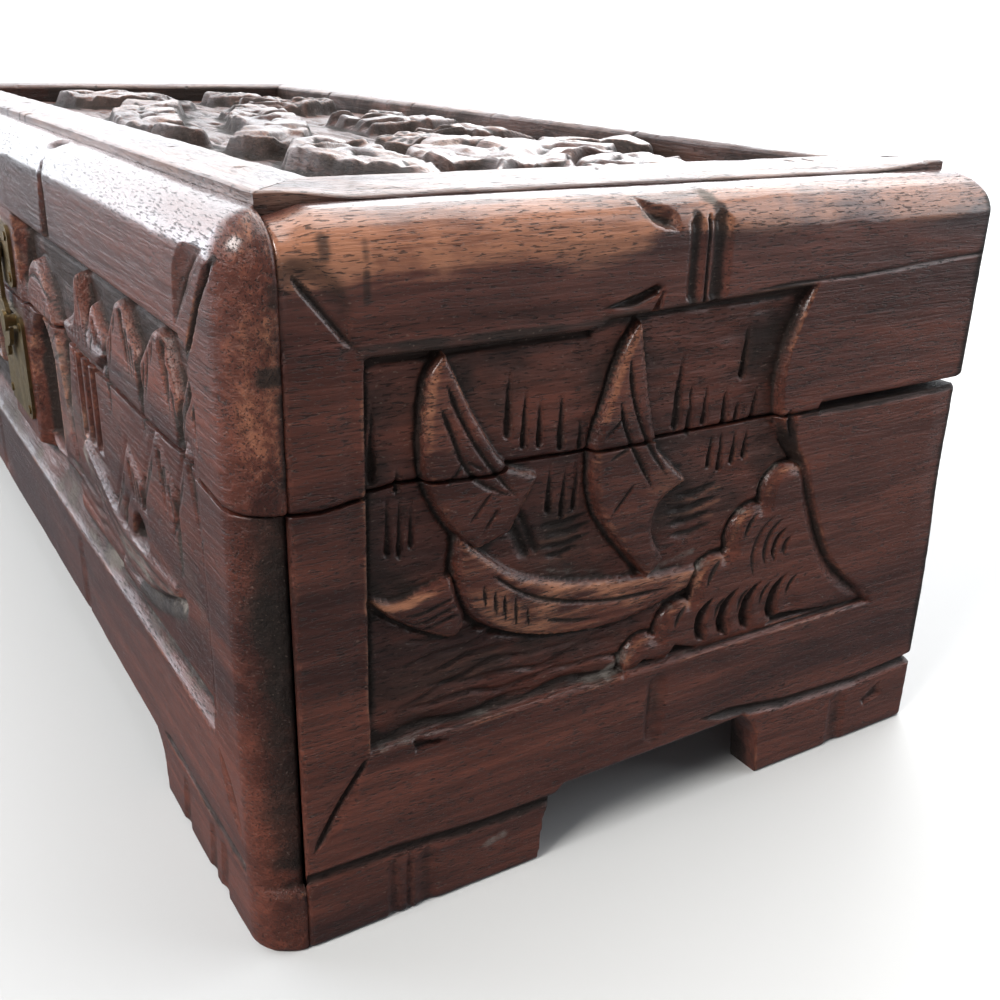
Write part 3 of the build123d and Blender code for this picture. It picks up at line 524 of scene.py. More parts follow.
def carve_end(face, seed):
    """A junk off a rocky shore, inside a bamboo frame."""
    ground = 2.1
    level = -0.25
    face.press([(-57.0, over(100.4)), (-16.0, over(100.6))], 3.6, 0.5)
    face.press([(-58.0, 98.0), (-57.6, FIELD_LOW)], 2.2, 0.25)
    face.sink(END_FIELD, ground, wall=1.0)
    face.tooled(0.17, seed)
    below_split = SHORE[SHORE[:, 1] < SPLIT + 2]
    face.cut(below_split - (0.5, 0.0), 2.0, 1.7, 0.15, 0.12)
    face.cut([(27.4, 79.0), (29.0, 73.0), (32.4, 67.5)], 2.6, 1.2, 0.2, 0.6)
    # A dark cut and painted shadow under the rail.
    face.cut([(-55.6, 97.0), (-36.0, 96.8), (-15.6, 97.0)], 2.4, 1.1, 0.02, 0.02)
    face.mark(face.stain_and_shade, [(-56.0, 98.2), (-38.0, 97.8), (-15.0, 98.4)], 2.0, 0.6)
    face.mark(face.stain_and_shade, [(-15.0, 99.2), (2.0, 99.8), (29.0, 100.6)], 1.4, 0.5)
    face.cut([(-55.2, 96.8), (-55.4, 66.0), (-55.6, 36.0)], 1.5, 0.7, 0.02, 0.1)
    face.cut([(-12.0, 98.4), (4.0, 98.8), (28.0, 99.2)], 1.3, 0.5, 0.1, 0.1)
    lapping_wave(face, level)
    water(face, -55.5, -16.0, 35.2, 51.0, seed + 5)
    water(face, -30.0, 2.0, 34.6, 43.0, seed + 6)
    junk(face, level)
    rocks(face, level)
    sky_cuts(face, (
        (-54.1, 91.8, 78.0, 1.8), (-50.0, 81.5, 76.2, 1.3), (-30.8, 94.6, 81.5, 1.9),
        (-28.0, 90.5, 79.4, 1.5), (-24.9, 89.5, 79.0, 1.5), (-20.9, 89.0, 78.0, 1.7),
        (-17.0, 84.0, 77.6, 1.4), (2.8, 93.4, 77.6, 2.4), (5.8, 86.6, 76.4, 1.4), (9.0, 85.4, 77.7, 1.6),
        (13.8, 85.4, 77.0, 1.8), (16.5, 82.2, 77.4, 1.3), (20.5, 83.5, 77.2, 1.6), (16.8, 96.4, 85.0, 1.7),
        (-51.5, 77.0, 66.0, 1.3), (-49.5, 77.0, 65.4, 1.2), (-47.6, 76.8, 66.6, 1.2),
        (-22.6, 76.8, 67.4, 1.6), (-20.0, 76.8, 66.0, 1.5), (-17.6, 76.6, 67.0, 1.3),
        (11.0, 76.8, 69.5, 1.5), (13.6, 76.8, 68.4, 1.5), (16.4, 76.6, 69.4, 1.4), (19.2, 76.4, 70.0, 1.4),
    ))
    for left, right, z in ((-25.5, -13.2, 62.2), (-24.0, -13.0, 64.2), (-25.0, -13.6, 66.0),
                           (-24.0, -16.0, 60.6), (2.0, 13.6, 58.6), (1.4, 13.0, 61.0), (0.6, 14.2, 63.6),
                           (2.4, 14.0, 66.2)):
        stroke = np.array([(left, z - 0.3), ((left + right) / 2, z - 0.6), (right, z + 0.5)])
        face.cut(stroke, 1.7, 0.65, 0.3, 0.3)
        # A painted highlight on the edge below each stroke.
        face.mark(face.rubbed_and_lit, stroke - (0, 1.1), 0.8, 0.34)
    end_rails(face)


def end_rails(face):
    """Bamboo joints, corner leaves, old knocks and dust on the plain parts of an end wall."""
    edge = -INNER_Y
    bamboo_node(face, 2.3, over(99.4), over(114.4), 3.4, 0.85)
    bamboo_node(face, 7.4, over(99.0), over(114.8), 4.4, 1.0)
    face.cut([(4.9, over(99.5)), (4.9, over(114.0))], 1.0, 0.9, 0.05, 0.05)
    bamboo_node(face, 1.9, 16.4, 32.0, 5.0, 0.55)
    face.cut([(0.2, 16.5), (0.6, 32.0)], 1.0, 0.3, 0.2, 0.2)

    face.cut(smooth([(-8.8, over(116.9)), (-6.2, over(114.8)), (-3.4, over(113.6)), (-1.2, over(111.6))]),
             3.6, 1.5, 0.5, 0.25, hollow=True)
    face.cut([(-16.5, 100.7), (-9.0, 101.6), (-3.8, 103.4)], 2.2, 1.7, 0.5, 0.1)
    face.sink([(-7.0, 98.2), (-3.4, 103.6), (-4.6, 98.2)], 1.8, 0.5)
    face.cut(smooth([(12.0, 100.8), (24.7, 101.4), (45.0, 101.8), (66.8, 102.9), (74.6, 103.2)]),
             0.8, 0.35, 0.15, 0.02)

    knuckle = smooth([(edge, over(111.4)), (-64.4, over(112.3)), (-61.0, over(110.8)),
                      (-58.3, 107.6), (-56.9, 104.6), (-56.4, 99.4)])
    face.sink(np.vstack([knuckle, [(edge - 1, 99.0)]]), 0.55, 1.6)
    face.cut([(-66.2, over(110.6)), (-56.2, 98.4)], 1.5, 0.75, 0.2, 0.2)
    face.mark(face.stain_and_shade, smooth([(edge, over(111.0)), (-63.0, over(110.6)), (-59.0, 106.0),
                                    (-57.6, 100.0)]), 3.0, 0.42)
    face.mark(face.stain_and_shade, [(edge, over(110.0)), (-61.0, 103.0)], 5.0, 0.3)
    leaf(face, [(-67.0, 18.0), (-61.0, 26.5), (-56.6, 33.4)], 4.6, 0.5)
    face.cut([(-66.5, 18.2), (-56.3, 33.6)], 1.4, 0.7, 0.15, 0.1)
    face.sink([(-48.6, FIELD_LOW + 0.4), (-40.6, 32.0), (-48.0, 31.4)], 1.3, 0.4)

    face.cut([(edge, 13.7), (-52.0, 13.6), (-36.0, 12.3), (-16.0, 12.2)], 2.8, 1.15, 0.0, 0.05)
    face.cut([(12.5, 18.3), (24.0, 16.8), (36.0, 15.0), (58.0, 13.9), (BACK_REACH, 15.4)],
             3.0, 1.3, 0.12, 0.0)
    for x, width in ((-52.2, 2.2), (-46.0, 4.4), (52.6, 5.5), (-49.3, 1.4)):
        face.cut([(x, -1.0), (x, 12.6)], width, 0.5, 0.0, 0.15, hollow=True)
    face.sink([(59.4, 8.2), (65.6, 12.0), (67.0, 7.8), (61.0, 6.2)], 0.8, 1.2)
    face.soften_borders(top=False)
    shoulder = ramp((-60.5 - face.u) / 6.5) * ramp((face.v - over(109.0)) / (over(117.9) - over(109.0)))
    face.h -= 1.3 * shoulder
    polish_rail(face)
    end_marks(face)


def polish_rail(face):
    """Hands have polished the rails of the lid most, and the rail below the carving a little."""
    face.handled = 0.32 + 0.68 * ramp((face.v - 96.0) / 12.0) + 0.25 * ramp((FIELD_LOW - face.v) / 3.0)


def end_marks(face):
    """Where an end wall is dusty, rubbed bare or dark with old stain. Some dark marks are painted shade,
    under the rail, along the split and down the back corner, and the rubbed bands on the rail are also a
    painted highlight.
    """
    for x, y, radius in ((28.6, 62.2, 5.2), (21.0, 55.3, 5.0), (13.3, 46.9, 4.8), (5.6, 39.6, 4.7)):
        face.mark(face.dust, arc(x, y, radius, 100, 165, 9), 0.9, 0.5)
    face.mark(face.dust, smooth([(-30.0, 60.6), (-20.0, 56.9), (-8.0, 54.3), (4.0, 52.6), (10.6, 52.2)]),
              0.9, 0.35)
    face.mark(face.dust, [(-1.0, 52.6), (9.0, 54.0)], 1.5, 0.75)
    face.mark(face.dust, [(-9.0, 34.0), (-4.0, 37.6)], 1.6, 0.5)
    face.mark(face.dust, [(-54.0, 34.0), (20.0, 33.9)], 0.8, 0.35)
    face.mark(face.dust, [(-7.6, over(114.6)), (-2.6, over(112.4))], 1.6, 0.75)
    face.mark(face.dust, smooth([(0.0, over(117.2)), (3.4, over(117.6)), (6.0, over(116.2))]), 2.4, 0.8)
    face.mark(face.dust, [(-48.0, 27.4), (-43.8, 28.0)], 1.3, 0.5)
    face.mark(face.dust, [(-34.4, 8.0), (-30.6, 8.6)], 1.5, 0.5)
    face.mark(face.dust, [(60.6, 9.4), (65.6, 10.0)], 1.5, 0.45)
    # Among these dark marks, the ones under the rail, along the split and down the back corner are painted
    # shade.
    for line, width, amount in (
        ([(2.3, over(100)), (2.3, over(114))], 1.7, 0.8), ([(7.4, over(100)), (7.4, over(114.6))], 2.2, 0.85),
        ([(-56.4, 99.2), (-14.0, 98.6)], 1.0, 0.7), ([(-46.0, 0.0), (-46.0, 11.6)], 1.8, 0.5),
        ([(52.6, 2.0), (52.6, 12.0)], 2.6, 0.45), ([(31.0, 77.0), (BACK_REACH, 77.0)], 1.3, 0.8),
        ([(HALF_DEPTH, 15.0), (HALF_DEPTH, over(113.0))], 3.6, 0.8),
        ([(-61.0, over(111.9)), (-60.9, over(114.2))], 1.5, 0.45),
        ([(-55.1, 105.7), (-55.1, 109.3)], 1.2, 0.6),
        ([(-55.0, over(111.5)), (-55.0, over(113.6))], 1.0, 0.4),
    ):
        face.mark(face.stain_and_shade, line, width, amount)
    # Rubbed bands on the rail's rounding: wear and a painted highlight.
    face.mark(face.rubbed_and_lit, [(-64.0, over(113.4)), (-10.0, over(113.8))], 9.0, 0.95)
    face.mark(face.rubbed_and_lit, [(-4.0, over(115.4)), (HALF_DEPTH, over(115.2))], 7.5, 0.75)


# The long walls

def field_of_long():
    """The border of the carved field on a long wall."""
    edge = FIELD_EDGE
    return [(-edge, FIELD_LOW), (edge, FIELD_LOW), (edge, FIELD_HIGH), (-edge, FIELD_HIGH)]


def carve_front(face, seed):
    """A harbour between hills, deeper than the ends, with a plain boss for the catch."""
    depth = 4.0
    ledge_height, ledge_rise = 7.0, 3.0
    edge = FIELD_EDGE
    face.sink(field_of_long(), depth, wall=1.0)
    in_field = (np.abs(face.u) < edge) * (face.v > FIELD_LOW)
    ledge = np.clip((FIELD_LOW + ledge_height - face.v) / ledge_height, 0, 1) * in_field
    face.h = np.maximum(face.h, -depth + ledge_rise * ledge - depth * (ledge <= 0))
    face.tooled(0.22, seed)
    face.dust = np.maximum(face.dust, 0.34 * ramp(2.5 * ledge) * (face.h < -0.6))

    hills(face, [(50, 60), (58, 84), (68, 74), (80, 90), (89, 84), (101.6, 96.4),
                 (112.6, 86.4), (125.6, 96.4), (135.0, 84.0), (144.3, 96.0), (edge + 0.5, 94)], -1.5, seed)
    hills(face, [(-edge - 0.5, 76), (-128, 92), (-112, 80), (-98, 93), (-80, 72), (-70, 64)], -1.2, seed + 1)
    hills(face, [(88, 52), (100, 68), (110, 63), (121, 77), (131, 68), (139, 80.5), (edge + 0.5, 74)], -0.9,
          seed + 2)
    bridge(face, 29.0, 46.0, 25.0, 90.0, -1.2)
    pavilion(face, 72.0, 58.0, 12.0, 95.0, -0.8)
    pavilion(face, -52.0, 50.0, 17.0, 94.0, -0.8)
    pine(face, -92.0, 44.0, 92.0, -0.7)
    water(face, 21.0, edge, 41.5, 50.0, seed + 3, 3.0)
    water(face, -edge, -21.0, 41.5, 50.0, seed + 4, 3.0)
    sampan(face, 98.0, 43.0, 33.0, -0.1)
    sampan(face, -112.0, 42.0, 28.0, -0.3)
    boss = [(-16.0, 42.0), (16.0, 42.0), (16.0, FIELD_HIGH + 1.0), (-16.0, FIELD_HIGH + 1.0)]
    # A deep cut under the rail, painted dark as its shadow.
    face.cut([(-edge, 96.6), (edge, 96.6)], 4.6, 3.0, 0.01, 0.01)
    face.stand(boss, 0.0, edge=0.8, soft=0.4)
    face.worn()
    ragged = 0.5 + 0.5 * noise(face.u, face.v, seed + 8, 3.0, 1.5)
    recess = ramp((-face.h - 2.7) / 0.9) * (1 - ramp(3 * ledge))
    thin_dust = (0.12 + 0.12 * ragged) * ramp(-face.h / 1.2) * (1 - recess)
    face.dust = np.maximum(face.dust, thin_dust)
    # The deepest recesses are painted near black, as shade.
    face.stain_and_shade = np.maximum(face.stain_and_shade, 0.72 * recess)
    long_rails(face, seed)


def carve_back(face, seed):
    """Two junks that sail towards a pair of rocks."""
    edge = FIELD_EDGE
    face.sink(field_of_long(), 2.4, wall=0.8)
    face.tooled(0.18, seed)
    water(face, -edge, -70.0, 35.2, 46.0, seed + 1)
    water(face, 70.0, edge, 35.2, 46.0, seed + 2)
    water(face, -66.0, 66.0, 34.8, 38.0, seed + 3)
    level = -0.4
    sky = ((-71.0, 93.0, 82.0), (-67.0, 90.0, 79.0), (-62.0, 92.0, 80.0), (-57.0, 88.0, 79.0),
           (-25.0, 92.0, 82.0), (-21.0, 89.0, 80.0), (10.0, 91.0, 81.0), (14.0, 88.0, 79.0),
           (19.0, 92.0, 82.0), (24.0, 87.0, 79.0))
    for shift, flip in ((-64.0, 1.0), (64.0, -1.0)):
        lapping_wave(face, level, shift, flip)
        junk(face, level, shift, flip)
        sky_cuts(face, [(shift + flip * x, high, low, 1.6) for x, high, low in sky])
    rocks(face, level, -26.0, -1.0)
    rocks(face, level, 26.0)
    long_rails(face, seed)


def hills(face, skyline, level, seed):
    """Jagged hills: facets fall away from each peak, and knife lines follow them down."""
    skyline = np.array(skyline, float)
    outline = np.vstack([skyline, [(skyline[-1][0], FIELD_LOW + 4), (skyline[0][0], FIELD_LOW + 4)]])
    face.stand(outline, level, wall=2.2, edge=1.4, soft=0.5, moat=0.4, side=(0.0, 1.0))
    rng = np.random.RandomState(seed)
    for (_, y0), (x, y), (_, y2) in zip(skyline[:-2], skyline[1:-1], skyline[2:]):
        if y < y0 and y < y2:
            face.cut([(x, y + 2.0), (x + 1.5, y - 12.0), (x - 1.0, y - 14.0)], 3.4, 1.0, 0.0, 0.6)
        elif y > y0 and y > y2:
            face.mark(face.rubbed_and_lit, [(x - 3.0, y - 4.0), (x, y - 0.8), (x + 4.0, y - 6.0)], 1.2, 0.3)
            face.cut([(x + 1.2, y - 2.0), (x + 6.0, y - 15.0)], 1.6, 0.9, 0.1, 0.4)
    for (x0, y0), (x1, y1) in zip(skyline[:-1], skyline[1:]):
        for share in np.linspace(0.15, 0.85, 4):
            x = x0 + share * (x1 - x0)
            y = y0 + share * (y1 - y0)
            fall = rng.uniform(6, 13)
            lean = 0.35 if y1 < y0 else -0.35
            face.cut([(x, y - 1.2), (x + lean * fall, y - fall)], rng.uniform(1.0, 1.8), 0.6, 0.15, 0.5)


def bridge(face, x, low, half, high, level):
    """A humped bridge with one round arch, and stones marked above it."""
    rise = high - low
    shoulder = low + 0.72 * rise
    springing = low + 0.45 * rise
    hump = smooth([(x - half, low), (x - 0.62 * half, shoulder), (x, high), (x + 0.62 * half, shoulder),
                   (x + half, low)])
    face.stand(np.vstack([hump, [(x, low - 2)]]), level, edge=1.2, soft=0.4, moat=0.8, side=(0.3, 0.9))
    radius = 0.46 * half
    jambs = [(x - radius, low - 1), (x + radius, low - 1)]
    opening = np.vstack([arc(x, springing, radius, 0, 180, 16), jambs])
    face.sink(opening, 5.4, 0.6)
    # The opening is painted black, as shade under the arch.
    face.stain_and_shade = np.maximum(face.stain_and_shade, 1.0 * (face.h < -4.2) * inside(face.u, face.v, opening))
    for angle in range(20, 171, 15):
        spoke = np.array((math.cos(math.radians(angle)), math.sin(math.radians(angle))))
        joint = [(x, springing) + 0.52 * half * spoke, (x, springing) + 0.78 * half * spoke]
        face.cut(joint, 0.9, 0.45, 0.2, 0.3)
    face.cut(arc(x, springing, 0.82 * half, 15, 165, 20), 1.0, 0.5, 0.1, 0.1)


def pavilion(face, x, low, half, high, level):
    """A small hall with an upswept roof, posts and dark doorways."""
    eave = half + 5.0
    wall_top = low + 0.6 * (high - low)
    hall = 0.85 * half
    walls = [(x - hall, low), (x + hall, low), (x + hall, wall_top), (x - hall, wall_top)]
    face.stand(walls, level - 0.6, edge=0.8, soft=0.3, moat=0.6)
    left = smooth([(x - eave, wall_top + 1.8), (x - 0.45 * half, wall_top + 4.2), (x, high)])
    right = smooth([(x, high), (x + 0.45 * half, wall_top + 4.2), (x + eave, wall_top + 1.8)])
    eaves = [(x + half, wall_top - 1.2), (x - half, wall_top - 1.2)]
    face.stand(np.vstack([left, right[1:], eaves]), level, edge=1.2, soft=0.4, moat=0.8, side=(0.0, -1.0))
    for share in np.linspace(-0.8, 0.8, 7):
        foot = x + share * half
        face.cut([(x + 0.25 * share * half, high - 2.5), (foot, wall_top)], 1.0, 0.5, 0.4, 0.1)
    for post in (-0.5, 0.0, 0.5):
        left = x + post * half - 0.17 * half
        right = x + post * half + 0.17 * half
        sill, lintel = low + 1.5, wall_top - 2.5
        face.sink([(left, sill), (right, sill), (right, lintel), (left, lintel)], 3.8, 0.6)


def pine(face, x, low, high, level):
    """A pine with a tapering trunk and three flat tufts, each cut like a fan."""
    trunk = [(x - 2.2, low), (x + 2.0, low), (x + 1.0, high - 4), (x - 1.2, high - 4)]
    face.stand(trunk, level - 0.5, edge=1.2, soft=0.5, moat=0.5)
    for dx, y, half in ((-5.0, high - 12.0, 9.0), (6.0, high - 7.0, 8.0), (0.0, high - 1.5, 9.5)):
        crown(face, x + dx, y, half, 4.4, level)


def crown(face, x, y, half_x, half_y, level, lobes=7, depth=0.6):
    """A tree's crown: a scalloped edge, and cuts that spread from its middle."""
    angles = np.radians(np.arange(0, 360, 360 / (lobes * 6)))
    bulge = 1 + 0.1 * np.abs(np.sin(lobes * angles / 2))
    outline = np.column_stack([x + half_x * bulge * np.cos(angles), y + half_y * bulge * np.sin(angles)])
    face.stand(outline, level, edge=2.0, soft=0.6, moat=0.9, reach=2.0)
    for angle in np.radians(np.arange(8, 360, 360 / (2 * lobes))):
        reach = np.array((half_x * math.cos(angle), half_y * math.sin(angle)))
        face.cut([(x, y) + 0.3 * reach, (x, y) + 0.92 * reach], 0.16 * half_x, depth, 0.35, 0.15)


def sampan(face, x, low, half, level):
    """A low open boat with rising ends, planks and a small cabin."""
    low_line = smooth([(x - half, low + 13.0), (x - 0.6 * half, low + 4.4), (x - 0.1 * half, low + 0.2),
                       (x + 0.45 * half, low + 1.4), (x + half, low + 7.5)])
    top_line = smooth([(x + 0.96 * half, low + 9.5), (x + 0.4 * half, low + 8.0), (x - 0.2 * half, low + 8.2),
                       (x - 0.94 * half, low + 16.5)])
    middle = x + 0.25 * half
    foot = [(x - 0.05 * half, low + 6.0), (x + 0.55 * half, low + 6.0)]
    cabin = np.vstack([arc(middle, low + 7.0, 0.3 * half, 0, 180, 14), foot])
    face.stand(cabin, level - 0.8, edge=1.5, soft=0.5, moat=1.0)
    face.sink(arc(middle, low + 8.5, 0.16 * half, 0, 360, 14), 3.4, 0.7)
    hull = np.vstack([low_line, top_line])
    face.stand(hull, level, edge=1.3, soft=0.5, moat=1.6, reach=3.0, side=(0.0, -1.0))
    for drop in (2.2, 4.4):
        face.cut(top_line - (0, drop), 1.1, 0.55, 0.1, 0.15)
    face.mark(face.dust, top_line - (0, 3.2), 3.2, 0.5)
    # Painted shadow under the hull.
    face.mark(face.stain_and_shade, low_line[-12:] - (0, 2.4), 2.6, 0.8)


def long_rails(face, seed):
    """Bamboo joints, corner leaves and the foot grooves of a long wall."""
    for side in (-1, 1):
        node = side * HALF_LENGTH / 3
        face.cut([(node - side * 1.0, over(98.4)), (node + side * 2.2, over(115.0))], 8.0, 1.7, 0.0, 0.8)
        face.cut([(node - side * 3.2, over(98.6)), (node + side * 1.4, over(116.0))], 1.6, 1.3, 0.0, 0.2)
        crest = [(node - side * 4.0, over(116.8)), (node + side * 6.0, over(117.8))]
        face.cut(crest, 4.0, 0.8, 0.3, 0.4, hollow=True)
        bamboo_node(face, node - side * 3.0, 12.0, 32.0, 6.0, 0.6)
        leaf(face, [(side * 157.6, over(112.8)), (side * 148.0, 108.0), (side * 142.4, 99.0)], 6.4, 1.1)
        mitre = [(side * 160.6, over(112.0)), (side * 154.0, 105.0), (side * 147.6, 96.4)]
        face.cut(mitre, 2.0, 1.7, 0.15, 0.15)
        face.mark(face.stain_and_shade, mitre, 1.1, 1.0)
        face.cut(smooth([(side * 147.3, 97.2), (side * 141.6, 88.3), (side * 137.2, 83.2)]),
                 2.0, 0.9, 0.1, 0.4)
        leaf(face, [(side * 158.0, 18.0), (side * 152.0, 26.0), (side * 147.0, 33.0)], 5.0, 0.6)
        inner = side * (HALF_LENGTH - LONG_FOOT)
        outer = side * INNER_X
        face.cut([(inner, FOOT_GROOVE), (outer, FOOT_GROOVE - 0.6)], 2.6, 0.9, 0.1, 0.0)
        for step in (12.0, 27.0, 33.0):
            scoop = [(inner + side * step, -1.0), (inner + side * (step + 2), 12.4)]
            face.cut(scoop, 4.0, 0.5, 0.0, 0.15, hollow=True)
    shape_corners(face, seed)
    polish_rail(face)
    sunk = ramp(-face.h / 1.4)
    face.handled *= (1 - 0.8 * sunk) * (1 - 0.6 * corner_share(face))


def corner_share(face):
    """Rises from 0 to 1 where a long wall turns round its corners."""
    return ramp((np.abs(face.u) - INNER_X) / (0.8 * RAIL_ARC))


def shape_corners(face, seed):
    """The end grain at the corners: set back below the split, hollowed, and streaked with wear and stain. The
    set-back column is painted dark, as shade under the lid.
    """
    past = np.abs(face.u) - INNER_X
    corner = corner_share(face)
    on_base = face.rows[0] < SPLIT - 10
    column = corner * ramp((face.v - FOOT_LEDGE + 0.4) / 1.6) * (face.v < SPLIT + 1.0) * on_base
    face.h -= COLUMN_SETBACK * column
    face.h -= 0.5 * (ramp(past / RAIL_ARC - 0.35) * column)
    face.soften_borders(0.45, 0.8, top=False)
    knob = ramp((past - 0.45 * RAIL_ARC) / (0.6 * RAIL_ARC)) * ramp((face.v - over(111.0)) / 5.0)
    face.h -= 0.45 * knob
    # The set-back column is painted dark, as shade under the lid's overhang.
    face.stain_and_shade = np.maximum(face.stain_and_shade, 0.75 * column * ramp((face.v - 14) / 3))
    face.h -= 0.22 * corner * np.abs(noise(face.u, face.v, seed + 40, 3.0))
    streaks = 0.5 + 0.35 * noise(face.v, face.u, seed + 41, 0.9, 16.0)
    streaks = streaks + 0.25 * noise(face.v, face.u, seed + 42, 2.4, 8.0)
    face.rubbed_and_lit = np.maximum(face.rubbed_and_lit, corner * (0.04 + 0.42 * streaks) * (face.v > SPLIT))
    face.stain_and_shade = np.maximum(face.stain_and_shade, 0.5 * corner * ramp(2.4 * (0.36 - streaks)))
    joint = np.clip(past / RAIL_ARC, 0, 1)
    for low, high, share in ((105.2, 109.8, 0.76), (95.0, 98.8, 0.6), (80.0, 95.0, 0.84)):
        level = ramp(face.v - low) * ramp(high - face.v)
        face.stain_and_shade = np.maximum(face.stain_and_shade, 0.62 * ramp((joint - share) / 0.16) * level)


# Board edges

def split_of_end(u):
    """The hand-sawn split between base and lid on an end wall, as a drift from the straight line."""
    places = (-67.5, -63.0, -53.7, -49.7, -38.7, -33.4, -31.3, -14.6, 6.5, 30.0, 70.0, 76.0)
    drifts = (-0.6, -1.0, 0.0, 0.4, -0.4, -0.7, 0.4, -0.1, -0.2, -0.1, -0.1, 0.0)
    return np.interp(u, places, drifts)


def split_of_long(s):
    """The same along a long wall."""
    near_corner = ramp((np.abs(s) - 150.0) / 17.0)
    return (0.25 * np.sin(s / 19.0) + 0.2 * np.sin(s / 7.3 + 1.0)) * (1 - near_corner) - 0.6 * near_corner


def cove(gap, high):
    """The coved side of a foot: height over how far it reaches into the arch."""
    share = np.clip(gap / COVE, 0, 1)
    curve = 0.5 + 0.5 * np.sqrt(np.clip((share - 0.12) / 0.88, 0, 1))
    return high * np.where(share < 0.12, share * 4.2, curve)


def foot_line_of_end(u):
    """The underside of an end board: feet at the corners and a flat-topped arch between."""
    gap = np.minimum(u - END_FOOT_FRONT, END_FOOT_BACK - u)
    return np.where(gap > 0, cove(gap, END_ARCH + 0.012 * (u - END_FOOT_FRONT)), 0.0)


def foot_line_of_long(s):
    """The underside of a long board."""
    gap = (HALF_LENGTH - LONG_FOOT) - np.abs(s)
    drift = 0.3 * np.sin(s / 23.0)
    return np.where(gap > 0, cove(gap, LONG_ARCH + drift), 0.0)


def worn_step(u):
    """The lid's edge is worn away towards the back of an end wall."""
    return WORN_STEP * ramp((u - WORN_FROM) / 0.6)


def hinge_share(s):
    """1 where a hinge is let into a back board, 0 elsewhere."""
    return (np.abs(np.abs(s) - HINGE_X) < HINGE_HALF + HINGE_ROOM).astype(float)


# From faces to boards

def long_place(s, q, z):
    """Where a point of a long wall is: s along it and round its corners, q out from the inner plane."""
    straight = np.clip(s, -INNER_X, INNER_X)
    angle = (s - straight) / BOARD
    return np.stack([straight + q * np.sin(angle), -(INNER_Y + q * np.cos(angle)), z], -1)


def end_place(u, q, z):
    """Where a point of an end wall is: u along the end, round its back corner and over its end grain."""
    arris = np.minimum(ARRIS, 0.5 * q)
    corner = INNER_Y + q - arris
    drawn_in = np.clip((u - BACK_TURN) / CORNER_BLEND + 1, 0, 1) * (BACK_TURN - corner)
    turn = np.clip((u - BACK_TURN) / ARRIS_ARC, 0, 1) * math.pi / 2
    over_end_grain = np.clip((u - BACK_TURN - ARRIS_ARC) / (BOARD - ARRIS), 0, 1)
    x = INNER_X + (q - arris) * (1 - over_end_grain) + arris * np.cos(turn)
    y = np.minimum(u, BACK_TURN) - drawn_in + arris * np.sin(turn)
    return np.stack([x, y, z], -1)


def grid_faces(start, end, columns):
    """Faces of a grid whose columns begin and end at given rows, as corner indices."""
    rows = end.max()
    index = np.clip(np.arange(rows + 1)[:, None], start, end) * columns + np.arange(columns)
    a, b, c, d = index[:-1, :-1], index[:-1, 1:], index[1:, 1:], index[1:, :-1]
    left, right = a != d, b != c
    quads = np.stack([a, b, c, d], -1)[left & right]
    rising = np.stack([a, b, c], -1)[~left & right]
    falling = np.stack([a, b, d], -1)[left & ~right]
    return [*quads.tolist(), *rising.tolist(), *falling.tolist()]


def make_piece(name, points, faces, flat_faces, layers, material):
    """A closed mesh: carved faces are shaded smooth and sawn ones flat."""
    mesh = bpy.data.meshes.new(name)
    mesh.from_pydata((points * MM).tolist(), [], faces + flat_faces)
    smooth_flags = np.zeros(len(mesh.polygons), bool)
    smooth_flags[:len(faces)] = True
    mesh.polygons.foreach_set("use_smooth", smooth_flags)
    for layer_name, values in layers.items():
        layer = mesh.attributes.new(layer_name, "FLOAT", "POINT")
        full = np.full(len(points), 0.85 if layer_name == "stain_and_shade" else 0.0, np.float32)
        full[:values.size] = values.ravel()
        layer.data.foreach_set("value", full)
    work = bmesh.new()
    work.from_mesh(mesh)
    bmesh.ops.remove_doubles(work, verts=work.verts, dist=0.01 * MM)
    loose = [v for v in work.verts if not v.link_faces]
    bmesh.ops.delete(work, geom=loose, context="VERTS")
    work.to_mesh(mesh)
    work.free()
    mesh.materials.append(material)
    piece = bpy.data.objects.new(name, mesh)
    bpy.context.scene.collection.objects.link(piece)
    return piece


def surface_layers(face):
    """What the finish needs to know about each place of a carved face."""
    # The hollow layer darkens cavities, as painted shade.
    hollow, proud = face.hollows()
    handled = face.handled * (1 - 0.7 * hollow)
    return {"hollow": hollow, "proud": proud, "dust": face.dust, "rubbed_and_lit": face.rubbed_and_lit,
            "stain_and_shade": face.stain_and_shade, "handled": handled}


